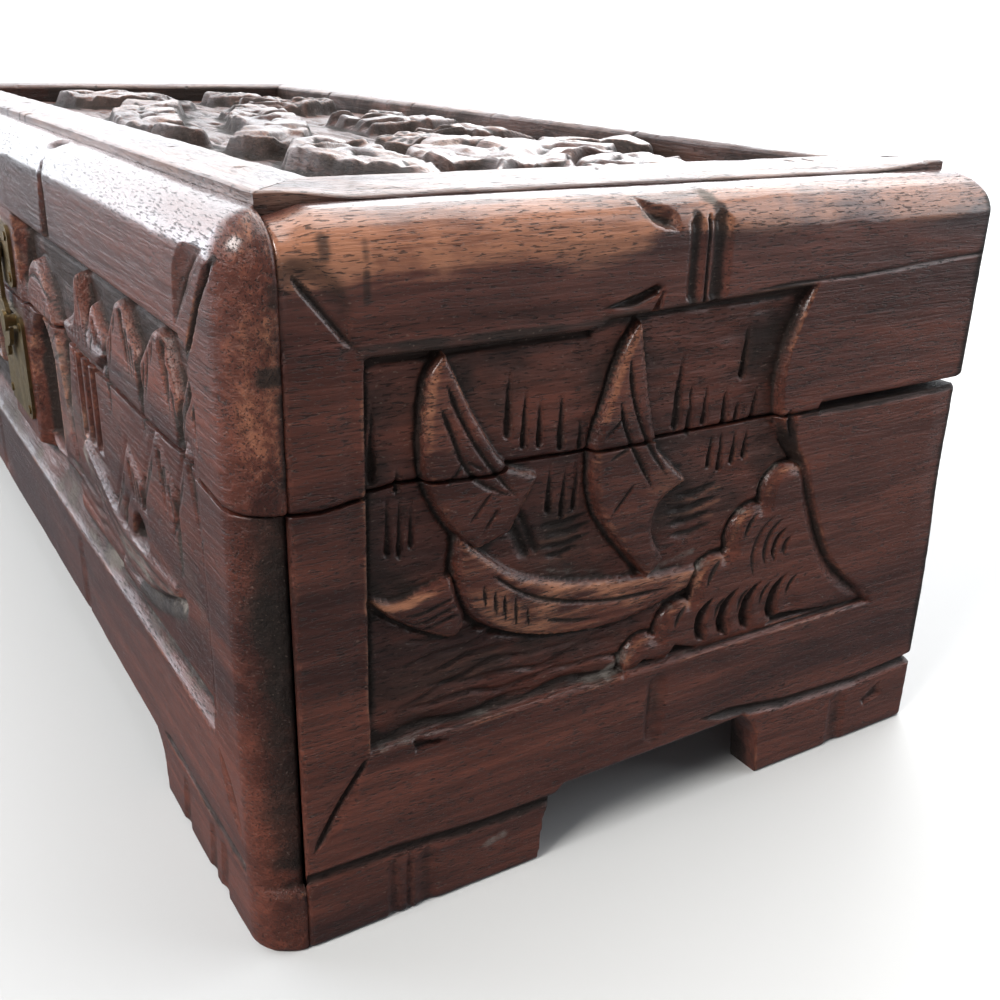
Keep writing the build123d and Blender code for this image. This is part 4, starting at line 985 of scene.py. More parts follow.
def solid(name, node, face, points, back_axis, back_level, facing, body, material, wrap=None):
    """A closed board from the points of its carved face: sawn faces drop from its edges to a flat back.

    facing mirrors the board in X and Y. From the column wrap on, the face turns round a corner and ends
    in the plane of the back, so there the back's corners are spread out over what is left of it."""
    rows, columns = face.u.shape
    start = np.clip([np.searchsorted(face.rows, low, side="right") - 1 for low in face.low], 0, rows - 1)
    end = np.clip([np.searchsorted(face.rows, top, side="left") for top in face.top], 0, rows - 1)
    faces = grid_faces(start, end, columns)

    column = np.arange(columns)
    backs = []
    for edge in (points[start, column], points[end, column]):
        back = edge.copy()
        back[:, back_axis] = back_level
        if wrap is not None and np.abs(edge - back).max() > 0.01:
            back[wrap:, 1] = np.linspace(back[wrap, 1], edge[-1, 1], columns - wrap)
        backs.append(back)
    low_back, top_back = backs
    low_index = start * columns + column
    top_index = end * columns + column
    low_back_index = rows * columns + column
    top_back_index = low_back_index + columns
    sawn = []
    for i in range(columns - 1):
        sawn.append((low_index[i], low_back_index[i], low_back_index[i + 1], low_index[i + 1]))
        sawn.append((top_index[i], top_index[i + 1], top_back_index[i + 1], top_back_index[i]))
        sawn.append((low_back_index[i], top_back_index[i], top_back_index[i + 1], low_back_index[i + 1]))
    for i, order in ((0, 1), (columns - 1, -1)):
        rim = [j * columns + i for j in range(start[i], end[i] + 1)]
        rim += [top_back_index[i], low_back_index[i]]
        sawn.append(tuple(rim[::order]))
    sawn = [tuple(int(k) for k in corners) for corners in sawn]

    every = np.vstack([points.reshape(-1, 3), low_back, top_back]) * (*facing, 1)
    if facing[0] * facing[1] < 0:
        faces = [corners[::-1] for corners in faces]
        sawn = [corners[::-1] for corners in sawn]
    piece = make_piece(name, every, faces, sawn, surface_layers(face), material)
    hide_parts(node)
    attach(piece, body)


def wall(name, face, place, back_axis, back_level, facing, material, wrap=None):
    """A wall board: its face runs straight up, and over the rounded rail at the top of the lid.

    Where the face has passed the arris on its way round the back corner, the rail's end lies flat."""
    face.h = np.minimum(face.h, 0.0)
    angle = np.clip((face.v - ROUND_START) / BOARD, 0, math.pi / 2)
    if wrap is not None:
        past_arris = ramp((face.u - BACK_TURN) / ARRIS_ARC)
        face.h *= 1 - past_arris * (1 - np.cos(angle))
    out = np.maximum((BOARD + face.h) * np.cos(angle), 0.0)
    z = np.where(angle > 0, ROUND_START + (BOARD + face.h) * np.sin(angle), face.v)
    points = place(face.u, out, np.minimum(z, RAIL_TOP))
    body = "lid" if name.startswith("lid") else "base"
    solid("carved_" + name, name, face, points, back_axis, back_level, facing, body,
          material, wrap)


def upper_and_lower(carve, columns, base_rows, lid_rows, base_low, split, lid_rise, seed):
    """One wall's carving, cut across base and lid alike, as two faces."""
    base = Face(columns, base_rows, low=base_low, top=lambda u: BASE_TOP + split(u))
    lid = Face(columns, lid_rows, low=lambda u: LID_LOW + split(u) + lid_rise(u))
    carve(base, seed)
    carve(lid, seed)
    return base, lid


def bevel_for_lid(face, share=1.0):
    """Take off the meeting arris at the back, so that the lid can fall open."""
    rise = np.abs(face.v - SPLIT)
    face.h = np.minimum(face.h, -BEVEL * np.clip(1 - (rise - HALF_GAP) / BEVEL_HEIGHT, 0, 1) * share)


def make_end_walls(material):
    """The two end walls, each in two boards. The left one is the right one's mirror image, cut by
    another hand."""
    for side, step, seed, facing in (("right", 0.35, 11, (1, 1)), ("left", 0.45, 57, (-1, 1))):
        flat = np.linspace(-INNER_Y, BACK_TURN, int((INNER_Y + BACK_TURN) / step))
        arris = BACK_TURN + ARRIS_ARC * np.linspace(0, 1, 9)
        end_grain = np.linspace(BACK_TURN + ARRIS_ARC, BACK_REACH, 15)
        columns = np.concatenate([flat, arris[1:], end_grain[1:]])
        wrap = np.searchsorted(columns, BACK_TURN - 5.0)
        base_rows = np.linspace(0, BASE_TOP + 0.6, int(BASE_TOP / step))
        lid_rows = np.linspace(LID_LOW - SAW_DRIFT, FACE_TOP, int((FACE_TOP - LID_LOW) / (0.88 * step)))
        base, lid = upper_and_lower(carve_end, columns, base_rows, lid_rows, foot_line_of_end, split_of_end,
                                    worn_step, seed)
        wear_back_edge(base)
        for face in (base, lid):
            bevel_for_lid(face, ramp((face.u - BACK_TURN) / ARRIS_ARC))
        wall("base_" + side + "_end_board", base, end_place, 0, INNER_X, facing, material, wrap)
        wall("lid_" + side + "_end_board", lid, end_place, 0, INNER_X, facing, material, wrap)


def wear_back_edge(base):
    """The top edge of an end board is chamfered by wear towards the back, and its back corner is worn in. The
    chamfer is painted dark, as shade in the gap under the lid.
    """
    chamfer = ramp((base.u - WORN_FROM) / 1.0) * np.clip((base.v - BASE_TOP + 0.9) / 0.9, 0, 1)
    base.h -= 0.7 * chamfer * (1 - ramp((base.u - BACK_TURN) / ARRIS_ARC))
    # The chamfer is painted near black, as shade in the gap.
    base.stain_and_shade = np.maximum(base.stain_and_shade, 1.6 * chamfer)
    base.handled *= 1 - np.clip(3 * chamfer, 0, 1)
    base.h -= 0.7 * ramp((base.u - 66.0) / 8.0) * ramp((base.v - 25.0) / 45.0)


def make_front_wall(material):
    """The front wall: fine columns near the corner that is seen most."""
    reach = INNER_X + RAIL_ARC
    fine_from = 60
    columns = np.concatenate([np.arange(-reach, fine_from, 0.9), np.linspace(fine_from, reach, 320)])
    base_rows = np.linspace(0, BASE_TOP + 0.6, 164)
    lid_rows = np.linspace(LID_LOW - SAW_DRIFT, FACE_TOP, 132)
    base, lid = upper_and_lower(carve_front, columns, base_rows, lid_rows, foot_line_of_long, split_of_long,
                                np.zeros_like, 23)
    wall("base_front_board", base, long_place, 1, -INNER_Y, (1, 1), material)
    wall("lid_front_board", lid, long_place, 1, -INNER_Y, (1, 1), material)


def make_back_wall(material):
    """The back wall stands between the end boards. Its meeting edges are bevelled, and cut out for the
    hinges, with columns close on both sides of the end of each cut."""
    cuts = [side * HINGE_X + end * (HINGE_HALF + HINGE_ROOM + by)
            for side in (-1, 1) for end in (-1, 1) for by in (-0.02, 0.02)]
    columns = np.union1d(np.linspace(-INNER_X, INNER_X, 520), cuts)
    base_rows = np.linspace(0, BASE_TOP, 152)
    lid_rows = np.linspace(LID_LOW, FACE_TOP, 88)
    base = Face(columns, base_rows, low=foot_line_of_long, top=lambda s: BASE_TOP - hinge_share(s))
    lid = Face(columns, lid_rows, low=lambda s: LID_LOW + hinge_share(s))
    for face in (base, lid):
        carve_back(face, 71)
        bevel_for_lid(face)
        rise = np.abs(face.v - SPLIT)
        round_knuckle = np.sqrt(np.maximum(KNUCKLE_ROOM ** 2 - rise ** 2, 0))
        room = np.where(rise < KNUCKLE_ROOM, BEVEL + round_knuckle, 0)
        face.h = np.minimum(face.h, -room * hinge_share(face.u))
    wall("base_back_board", base, long_place, 1, -INNER_Y, (-1, -1), material)
    wall("lid_back_board", lid, long_place, 1, -INNER_Y, (-1, -1), material)


# The top of the lid

def make_mouldings(long_material, end_material):
    """The four crowned mouldings of the lid's frame, mitred at the corners."""
    sides = (("front", INNER_X, INNER_Y, (1, 1)), ("back", INNER_X, INNER_Y, (-1, -1)),
             ("right", INNER_Y, INNER_X, (1, 1)), ("left", INNER_Y, INNER_X, (-1, -1)))
    for number, (side, half_length, half_span, facing) in enumerate(sides):
        columns = np.arange(-half_length, half_length + 0.3, 0.5)
        columns[-1] = half_length
        rows = np.linspace(-half_span, MOULDING_WIDTH - half_span, 34)

        def mitre(u, half_length=half_length, half_span=half_span):
            return np.minimum(MOULDING_WIDTH, half_length - np.abs(u) + 0.02) - half_span

        face = Face(columns, rows, top=mitre)
        across = (face.v + half_span) / MOULDING_WIDTH
        bead = side in ("right", "left")
        outer = np.clip(1 - across / 0.6, 0, 1) ** 1.8
        inner = np.clip((across - 0.6) / 0.4, 0, 1) ** 2
        near_mitre = ramp((np.abs(face.u) - half_length + 16.0) / 14.0)
        shoulder = 1.5 - 1.25 * near_mitre if bead else 0.25
        outer_arris = 0.3 * (1 - np.clip(across * 20, 0, 1)) ** 2
        inner_arris = 0.7 * (1 - np.clip((1 - across) * 11, 0, 1)) ** 2
        face.h = -shoulder * outer - 0.8 * inner
        face.h -= outer_arris + inner_arris
        wear = noise(face.u, face.v, 90 + number, 3.0, 3.0)
        wear = wear + 0.5 * noise(face.u, face.v, 95 + number, 1.1, 4.0)
        face.h -= 0.16 * np.abs(wear)
        rng = np.random.RandomState(400 + number)
        for _ in range(int(half_length / 7)):
            x = rng.uniform(-half_length, half_length)
            y = -half_span + MOULDING_WIDTH * rng.choice((0.03, 0.5, 0.97))
            knock = [(x, y - 1.6), (x + rng.uniform(-2, 2), y + 1.6)]
            width = rng.uniform(0.8, 2.2)
            face.cut(knock, width, rng.uniform(0.2, 0.6), 0.4, 0.4)
        face.rubbed_and_lit += 0.35
        face.handled += 0.65
        face.stain_and_shade = np.maximum(face.stain_and_shade, 0.5 * ramp(1 - (1 - across) * 12))
        z = np.minimum(CROWN_TOP + face.h, CROWN_TOP)
        if bead:
            points = np.stack([-face.v, face.u, z], -1)
        else:
            points = np.stack([face.u, face.v, z], -1)
        node = "lid_frame_" + side + "_moulding"
        solid("worn_" + side + "_moulding", node, face, points, 2, CEILING, facing, "lid",
              end_material if bead else long_material)


def carve_panel(face):
    """A landscape in flat relief: wooded crags, tree crowns, halls with ridged roofs."""
    long_bank = [(-84, -15), (-66, -9), (-40, -18), (-10, -26), (14, -32), (37, -34), (38, -39),
                 (28, -43), (0, -44), (-34, -38), (-64, -29), (-82, -22)]
    near_bank = [(-37, 1), (-14, -12), (14, -16), (40, -27), (51, -34), (63, -30), (60, -21),
                 (42, -11), (16, -2), (-10, 5), (-29, 7)]
    bluff = [(63, -23), (76, -30), (90, -35.5), (107, -33.5), (124, -31), (134, -31),
             (135, -26.5), (118, -21.5), (102, -18.5), (80, -14), (66, -16.5)]
    gouged_crag = [(97, -14), (112, -14), (113, -9), (119, -8), (126, -11), (134, -17), (135, -15), (126, -9),
                   (122.5, -4), (126, -3), (132, -8), (133, -6), (123, 0), (119, 5), (123, 5),
                   (131, 0), (131, 3), (116, 11), (110, 19), (112, 25), (100, 34), (88, 34), (78, 26),
                   (73, 12), (79, -3)]
    step = [(116, 14), (123, 8.5), (132, 6), (142, 6), (142, 20), (131, 27), (121, 34), (115, 27)]
    left_crag = [(-134, -30), (-127, -7), (-108, 3), (-97, -12), (-107, -31)]
    far_crag = [(58, 44), (74, 38), (92, 40), (98, 46), (84, 51), (60, 50.5)]
    reach_x, reach_y = face.columns[-1], face.rows[-1]
    for number, left in enumerate(np.linspace(2 - reach_x, reach_x - 56, 6)):
        water(face, left, left + 54, 3 - reach_y, reach_y - 4, 300 + number, 4.2, 1.9)
    for outline, level in ((long_bank, 4.8), (near_bank, 5.0), (bluff, 5.2), (gouged_crag, 5.2), (step, 4.6),
                           (left_crag, 4.8), (far_crag, 4.8)):
        level = min(level, PANEL_RELIEF)
        face.stand(smooth(outline, 4, closed=True), level, wall=0.8, edge=0.25, soft=0.12, moat=0.5)
    for x, y, half_x, half_y, level in ((-118, 26, 13, 9, 4.6), (-46, 6, 12, 7, 4.6), (64, 4, 9, 7, 4.8),
                                        (-98, -2, 9, 6, 4.4)):
        crown(face, x, y, half_x, half_y, level, 8, 0.7)
    for x, y, half in ((-78, 28, 16), (0, 30, 20), (48, 27, 13)):
        lid_hall(face, x, y, half)
    for line in (
        [(90, -4), (88, 3), (83, 13)], [(84, -15), (86, -4)], [(40, -14), (38, -5)], [(80, 14), (74, 23)],
        [(78, 31), (84, 24)], [(94, -8), (106, -4)], [(96, 8), (106, 2)], [(98, 20), (106, 10)],
        [(20, -12), (30, -20)], [(-6, -8), (4, -4)], [(-20, -2), (-8, -8)], [(70, -22), (84, -26)],
        [(96, -26), (112, -27)], [(-20, -34), (0, -37)], [(-50, -24), (-34, -30)], [(-72, -20), (-58, -16)],
        [(124, 24), (134, 14)], [(118, 22), (126, 14)],
    ):
        face.cut(smooth(line), 2.4, 1.6, 0.3, 0.3)
    chop_tops(face, 341)
    face.worn()
    face.h += 0.14 * noise(face.u, face.v, 331, 1.8, 2.4) + 0.1 * noise(face.u, face.v, 333, 6.0)
    face.h = np.minimum(face.h, PANEL_RELIEF)
    face.soften_borders(0.5, 1.0)
    # The forms' flanks are painted dark, as shade, and their tops lighter, as wear and a painted highlight.
    flanks = ramp((face.steepness() - 0.45) / 0.7)
    face.handled = (0.5 + 0.5 * ramp((face.h - 2.6) / 1.6)) * (1 - 0.9 * flanks)
    ground = ramp((1.6 - face.h) / 1.4)
    face.dust = np.maximum(face.dust, 0.2 * ground)
    face.rubbed_and_lit = np.maximum(face.rubbed_and_lit, 0.5 * ramp((face.h - 3.0) / 1.2) * (1 - flanks))
    face.stain_and_shade = np.maximum(face.stain_and_shade, 0.62 * flanks)


def lid_hall(face, x, y, half):
    """A hall with a ribbed roof, a deep eaves line and three doorways."""
    ridge, eave, foot = y + 16, y + 3, y - 12
    walls = 0.7 * half
    outline = [(x - half, eave), (x - 0.6 * half, ridge), (x + 0.6 * half, ridge), (x + half, eave),
               (x + walls, y), (x + walls, foot), (x - walls, foot), (x - walls, y)]
    face.stand(outline, 4.9, edge=1.0, soft=0.4, moat=0.6)
    for share in np.linspace(-0.85, 0.85, 9):
        face.cut([(x + 0.6 * share * half, y + 15), (x + share * half, y + 4)], 1.5, 0.8, 0.15, 0.1)
    face.cut([(x - 0.95 * half, y + 2), (x + 0.95 * half, y + 2)], 1.6, 1.3, 0.05, 0.05)
    sill, lintel = y - 12.4, y - 2
    for share in (-0.5, 0.0, 0.5):
        left = x + share * half - 2
        right = x + share * half + 2
        face.sink([(left, sill), (right, sill), (right, lintel), (left, lintel)], -1.4, 0.8, keep=9.0)


def chop_tops(face, seed):
    """Flat facets all over the standing forms, each pared to its own slope, and some deep stabs between."""
    facets, stabs = 260, 90
    rng = np.random.RandomState(seed)
    standing = ramp((face.h - 2.4) / 1.6)
    half_x = face.columns[-1] - 4
    half_y = face.rows[-1] - 3
    wobble = 1.2 * noise(face.u, face.v, seed + 1, 5.0)
    nearest = np.full(face.u.shape, 1e9)
    pared = np.zeros(face.u.shape)
    for _ in range(facets):
        x = rng.uniform(-half_x, half_x)
        y = rng.uniform(-half_y, half_y)
        slope_x, slope_y = rng.uniform(-0.22, 0.22, 2)
        drop = rng.choice((0.0, 0.2, 0.6, 1.3))
        du = (face.u - x + wobble) * 0.7
        dv = face.v - y + wobble
        distance = np.hypot(du, dv)
        near = distance < nearest
        nearest[near] = distance[near]
        pared[near] = (drop + np.abs(slope_x * du + slope_y * dv))[near]
    face.h -= standing * pared
    for _ in range(stabs):
        x = rng.uniform(-half_x, half_x)
        y = rng.uniform(-half_y, half_y)
        angle = rng.uniform(0, math.pi)
        reach = np.array((math.cos(angle), math.sin(angle))) * rng.uniform(2.0, 6.0)
        line = smooth([(x, y) - reach, (x + rng.uniform(-1.2, 1.2), y), (x, y) + reach], 4)
        face.cut(line, rng.uniform(1.4, 2.6), rng.uniform(0.8, 2.4), 0.4, 0.4)


def make_panel(material):
    """The carved panel in the lid's frame."""
    room = 0.02
    half_x = INNER_X - MOULDING_WIDTH - room
    half_y = INNER_Y - MOULDING_WIDTH - room
    face = Face(np.linspace(-half_x, half_x, 500), np.linspace(-half_y, half_y, 186))
    carve_panel(face)
    points = np.stack([face.u, face.v, PANEL_GROUND + face.h], -1)
    solid("carved_lid_panel", "lid_top_panel", face, points, 2, CEILING, (1, 1), "lid",
          material)


# Finishes

# The colour of grime in the cuts, and of painted shade in cavities and recesses.
GRIME_AND_SHADE = (0.0105, 0.0075, 0.0055, 1)
OPEN_PORE = (0.010, 0.0055, 0.0045, 1)
PALE_SPECK = (0.21, 0.15, 0.12, 1)
CLEAN_BRASS = (0.32, 0.23, 0.11, 1)
BROWN_BRASS = (0.10, 0.072, 0.040, 1)


def group_tree(name, inputs, outputs):
    """A shader node group. Inputs are names and defaults, or None for a vector, and outputs are names."""
    tree = bpy.data.node_groups.new(name, "ShaderNodeTree")
    for socket_name, default in inputs.items():
        kind = "NodeSocketVector" if default is None else "NodeSocketFloat"
        socket = tree.interface.new_socket(name=socket_name, in_out="INPUT", socket_type=kind)
        if default is not None:
            socket.default_value = default
    for socket_name in outputs:
        tree.interface.new_socket(name=socket_name, in_out="OUTPUT", socket_type="NodeSocketFloat")
    return tree, tree.nodes.new("NodeGroupInput"), tree.nodes.new("NodeGroupOutput")


def add(tree, kind, inputs=None, **settings):
    """A node with its settings and inputs. An input is a socket to link, or a constant."""
    node = tree.nodes.new(kind)
    for key, value in settings.items():
        setattr(node, key, value)
    for key, value in (inputs or {}).items():
        if isinstance(value, bpy.types.NodeSocket):
            tree.links.new(value, node.inputs[key])
        else:
            node.inputs[key].default_value = value
    return node


def maths(tree, operation, *values, clamp=False):
    """A maths node's result."""
    node = add(tree, "ShaderNodeMath", dict(enumerate(values)), operation=operation, use_clamp=clamp)
    return node.outputs[0]


def blend(tree, share, below, above, mode="MIX"):
    """One colour over another."""
    node = add(tree, "ShaderNodeMix", {0: share, 6: below, 7: above}, data_type="RGBA", blend_type=mode,
               clamp_factor=True)
    return node.outputs[2]


def window(tree, value, low, high):
    """Turns low..high into 0..1, softly."""
    node = add(tree, "ShaderNodeMapRange", {"Value": value, "From Min": low, "From Max": high},
               interpolation_type="SMOOTHSTEP")
    return node.outputs["Result"]


def speckle(tree, vector, stretch, detail, rough, twist=0.0):
    """Noise over stretched coordinates. The stretch is in lumps per metre along each axis."""
    scaled = add(tree, "ShaderNodeMapping", {"Vector": vector, "Scale": stretch})
    noise_node = add(tree, "ShaderNodeTexNoise", {"Vector": scaled.outputs[0], "Scale": 1.0,
                                                  "Detail": detail, "Roughness": rough, "Distortion": twist})
    return noise_node.outputs[0]


def placed(tree, group, inputs):
    """A node group placed in a material and fed by other nodes: its outputs."""
    return add(tree, "ShaderNodeGroup", inputs, node_tree=group).outputs


def wood_grain_group():
    """Grain of a dense brown wood: broad tone, fine streaks, and pores as dashes. The grain runs along X."""
    results = ("Tone", "Streak", "Pores", "Blotch", "Fine", "Specks")
    tree, come, go = group_tree("wood_grain", {"Vector": None}, results)
    vector = come.outputs["Vector"]
    tone = window(tree, speckle(tree, vector, (9, 75, 75), 3.0, 0.5, 0.6), 0.3, 0.72)
    streak = window(tree, speckle(tree, vector, (60, 900, 900), 5.0, 0.62, 0.4), 0.34, 0.68)
    pore_field = speckle(tree, vector, (520, 3600, 3600), 2.0, 0.5)
    thin = speckle(tree, vector, (60, 210, 210), 2.0, 0.5)
    limit = maths(tree, "MULTIPLY_ADD", thin, -0.2, 0.68)
    pores = maths(tree, "MULTIPLY", maths(tree, "SUBTRACT", pore_field, limit), 14.0, clamp=True)
    blotch = window(tree, speckle(tree, vector, (42, 60, 60), 4.0, 0.6, 0.8), 0.36, 0.68)
    fine = speckle(tree, vector, (900, 2600, 2600), 3.0, 0.6)
    specks = window(tree, speckle(tree, vector, (1100, 2400, 2400), 1.0, 0.5), 0.68, 0.76)
    for socket, value in zip(results, (tone, streak, pores, blotch, fine, specks)):
        tree.links.new(value, go.inputs[socket])
    return tree


def age_group():
    """Breaks up carved-in layers with grain and blotches, so that dust, wear with painted highlights, and
    grime with painted shade have ragged edges.
    """
    tree, come, go = group_tree("age", {
        "Dust": 0.0, "Rubbed_and_lit": 0.0, "Proud": 0.0, "Cavity_shade": 0.0, "Stain_and_shade": 0.0, "Streak": 0.5, "Blotch": 0.5,
        "Fine": 0.5}, ("Dust", "Wear_and_highlight", "Grime_and_shade"))
    pick = come.outputs
    ragged = maths(tree, "MULTIPLY_ADD", pick["Fine"], 0.8, -0.4)
    patchy = maths(tree, "MULTIPLY_ADD", pick["Blotch"], 0.7, -0.35)
    streaky = maths(tree, "MULTIPLY_ADD", pick["Streak"], 0.5, -0.25)
    dust_edge = maths(tree, "ADD", pick["Dust"], maths(tree, "ADD", ragged, patchy))
    dust = maths(tree, "MULTIPLY", window(tree, dust_edge, 0.15, 1.05), window(tree, pick["Dust"], 0.02, 0.4))
    # Wear: bare arrises, and painted highlights from the rubbed layer.
    bared = maths(tree, "MAXIMUM", maths(tree, "MULTIPLY", pick["Proud"], 0.7), pick["Rubbed_and_lit"])
    wear_edge = maths(tree, "ADD", bared, maths(tree, "ADD", streaky, patchy))
    wear = maths(tree, "MULTIPLY", window(tree, wear_edge, 0.05, 1.25), window(tree, bared, 0.0, 0.5))
    # Grime and painted shade: cavities from the hollow layer, with stain and painted shade.
    grime_and_shade_edge = maths(tree, "ADD", maths(tree, "MAXIMUM", pick["Cavity_shade"], pick["Stain_and_shade"]),
                       maths(tree, "MULTIPLY", patchy, 0.6))
    grime_and_shade = window(tree, grime_and_shade_edge, 0.12, 0.75)
    for socket, value in zip(("Dust", "Wear_and_highlight", "Grime_and_shade"), (dust, wear, grime_and_shade)):
        tree.links.new(value, go.inputs[socket])
    return tree


def layer_value(tree, name):
    """A layer that the carving left on the mesh."""
    return add(tree, "ShaderNodeAttribute", attribute_name=name, attribute_type="GEOMETRY").outputs["Fac"]


def aged_wood(name, grain, age, turn, dark, warm, bare_and_lit, dust_colour, dust_share=1.0, polish=0.95,
              wax_rough=0.17):
    """Stained hardwood gone old: dark in the cuts and hollows with grime and painted shade, bare on the
    arrises with painted highlights, dusty on the ledges.
    """
    material = bpy.data.materials.new(name)
    material.use_nodes = True
    tree = material.node_tree
    shader = tree.nodes["Principled BSDF"]
    place = add(tree, "ShaderNodeTexCoord").outputs["Object"]
    turned = add(tree, "ShaderNodeMapping", {"Vector": place, "Rotation": (0, 0, turn)}).outputs[0]
    wood = placed(tree, grain, {"Vector": turned})
    layers = {"Dust": "dust", "Rubbed_and_lit": "rubbed_and_lit", "Proud": "proud", "Cavity_shade": "hollow", "Stain_and_shade": "stain_and_shade"}
    inputs = {socket: layer_value(tree, layer) for socket, layer in layers.items()}
    inputs.update({socket: wood[socket] for socket in ("Streak", "Blotch", "Fine")})
    worn = placed(tree, age, inputs)
    dusty = maths(tree, "MULTIPLY", worn["Dust"], dust_share)

    colour = wood_colour(tree, wood, worn, dark, warm, bare_and_lit)
    tree.links.new(blend(tree, dusty, colour, dust_colour), shader.inputs["Base Color"])
    tree.links.new(wood_roughness(tree, wood, worn, dusty), shader.inputs["Roughness"])
    tree.links.new(wax_share(tree, wood, worn, dusty, polish), shader.inputs["Coat Weight"])
    tree.links.new(grain_relief(tree, wood), shader.inputs["Normal"])
    shader.inputs["Coat Roughness"].default_value = wax_rough
    shader.inputs["Specular IOR Level"].default_value = 0.3
    return material


def wood_colour(tree, wood, worn, dark, warm, bare_and_lit):
    """From the wood outwards: tone, streaks, bare arrises and painted highlights, grime and painted shade in
    the cuts, pores and pale specks.
    """
    colour = blend(tree, wood["Tone"], dark, warm)
    shade = maths(tree, "MULTIPLY_ADD", wood["Streak"], 0.45, 0.78)
    grey = add(tree, "ShaderNodeCombineColor", {0: shade, 1: shade, 2: shade}).outputs[0]
    colour = blend(tree, 1.0, colour, grey, "MULTIPLY")
    # Bare colour where there is wear and painted highlight, grime colour where there is grime and painted
    # shade.
    for mask, share, above in ((worn["Wear_and_highlight"], 0.85, bare_and_lit), (worn["Grime_and_shade"], 0.88, GRIME_AND_SHADE),
                               (wood["Pores"], 0.72, OPEN_PORE), (wood["Specks"], 0.3, PALE_SPECK)):
        colour = blend(tree, maths(tree, "MULTIPLY", mask, share), colour, above)
    return colour


def wood_roughness(tree, wood, worn, dusty):
    """Rougher where the wood is blotched, dusty, grimy or painted dark as shade."""
    rough = maths(tree, "MULTIPLY_ADD", wood["Blotch"], 0.10, 0.40)
    rough = maths(tree, "MULTIPLY_ADD", worn["Grime_and_shade"], 0.25, rough)
    return maths(tree, "MULTIPLY_ADD", dusty, 0.35, rough, clamp=True)


def wax_share(tree, wood, worn, dusty, polish):
    """Where old wax still shines: on what hands reach, and not in pores, dust, grime or painted shade."""
    matt = maths(tree, "MAXIMUM", maths(tree, "MULTIPLY", wood["Pores"], 0.9), dusty)
    matt = maths(tree, "MAXIMUM", matt, maths(tree, "MULTIPLY", worn["Grime_and_shade"], 0.75))
    clean = maths(tree, "SUBTRACT", 1.0, matt, clamp=True)
    wax = maths(tree, "MULTIPLY", clean, layer_value(tree, "handled"))
    return maths(tree, "MULTIPLY", wax, polish)


def grain_relief(tree, wood):
    """Pores are sunk, and streaks and fibres stand up a little."""
    relief = maths(tree, "MULTIPLY_ADD", wood["Pores"], -1.0, maths(tree, "MULTIPLY", wood["Streak"], 0.5))
    relief = maths(tree, "MULTIPLY_ADD", wood["Fine"], 0.35, relief)
    bump = add(tree, "ShaderNodeBump", {"Height": relief, "Strength": 0.75, "Distance": 0.00028})
    return bump.outputs[0]


def brass_patina_group():
    """Tarnish and fine scratches on old brass."""
    results = ("Tarnish", "Scratch")
    tree, come, go = group_tree("brass_patina", {"Vector": None}, results)
    vector = come.outputs["Vector"]
    tarnish = window(tree, speckle(tree, vector, (140, 140, 140), 6.0, 0.65, 0.4), 0.38, 0.68)
    scratch = speckle(tree, vector, (2600, 300, 300), 2.0, 0.5)
    for socket, value in zip(results, (tarnish, scratch)):
        tree.links.new(value, go.inputs[socket])
    return tree


def aged_brass(name, patina):
    """Old brass with brown tarnish."""
    material = bpy.data.materials.new(name)
    material.use_nodes = True
    tree = material.node_tree
    shader = tree.nodes["Principled BSDF"]
    worn = placed(tree, patina, {"Vector": add(tree, "ShaderNodeTexCoord").outputs["Object"]})
    colour = blend(tree, worn["Tarnish"], CLEAN_BRASS, BROWN_BRASS)
    tree.links.new(colour, shader.inputs["Base Color"])
    shader.inputs["Metallic"].default_value = 1.0
    rough = maths(tree, "MULTIPLY_ADD", worn["Tarnish"], 0.28, 0.26)
    rough = maths(tree, "MULTIPLY_ADD", worn["Scratch"], 0.12, rough)
    tree.links.new(rough, shader.inputs["Roughness"])
    return material


# The room, in metres

def pale_floor():
    """A pale plain floor under the box."""
    material = bpy.data.materials.new("pale_floor")
    material.use_nodes = True
    shader = material.node_tree.nodes["Principled BSDF"]
    shader.inputs["Base Color"].default_value = (0.52, 0.52, 0.515, 1)
    shader.inputs["Roughness"].default_value = 0.7
    mesh = bpy.data.meshes.new("floor")
    reach = 6.0
    mesh.from_pydata([(-reach, -reach, 0), (reach, -reach, 0), (reach, reach, 0), (-reach, reach, 0)], [],
                     [(0, 1, 2, 3)])
    mesh.materials.append(material)
    floor = bpy.data.objects.new("floor", mesh)
    floor.visible_glossy = False
    bpy.context.scene.collection.objects.link(floor)


def facing_turn(place, aim):
    """The turn of a lamp or camera at a place that faces a point, upright."""
    return (Vector(aim) - Vector(place)).to_track_quat("-Z", "Y")


def softbox(name, place, aim, size, power, colour):
    """A square lamp that faces a point."""
    lamp = bpy.data.lights.new(name, "AREA")
    lamp.shape = "SQUARE"
    lamp.size = size
    lamp.energy = power
    lamp.color = colour
    holder = bpy.data.objects.new(name, lamp)
    holder.location = place
    holder.rotation_euler = facing_turn(place, aim).to_euler()
    bpy.context.scene.collection.objects.link(holder)


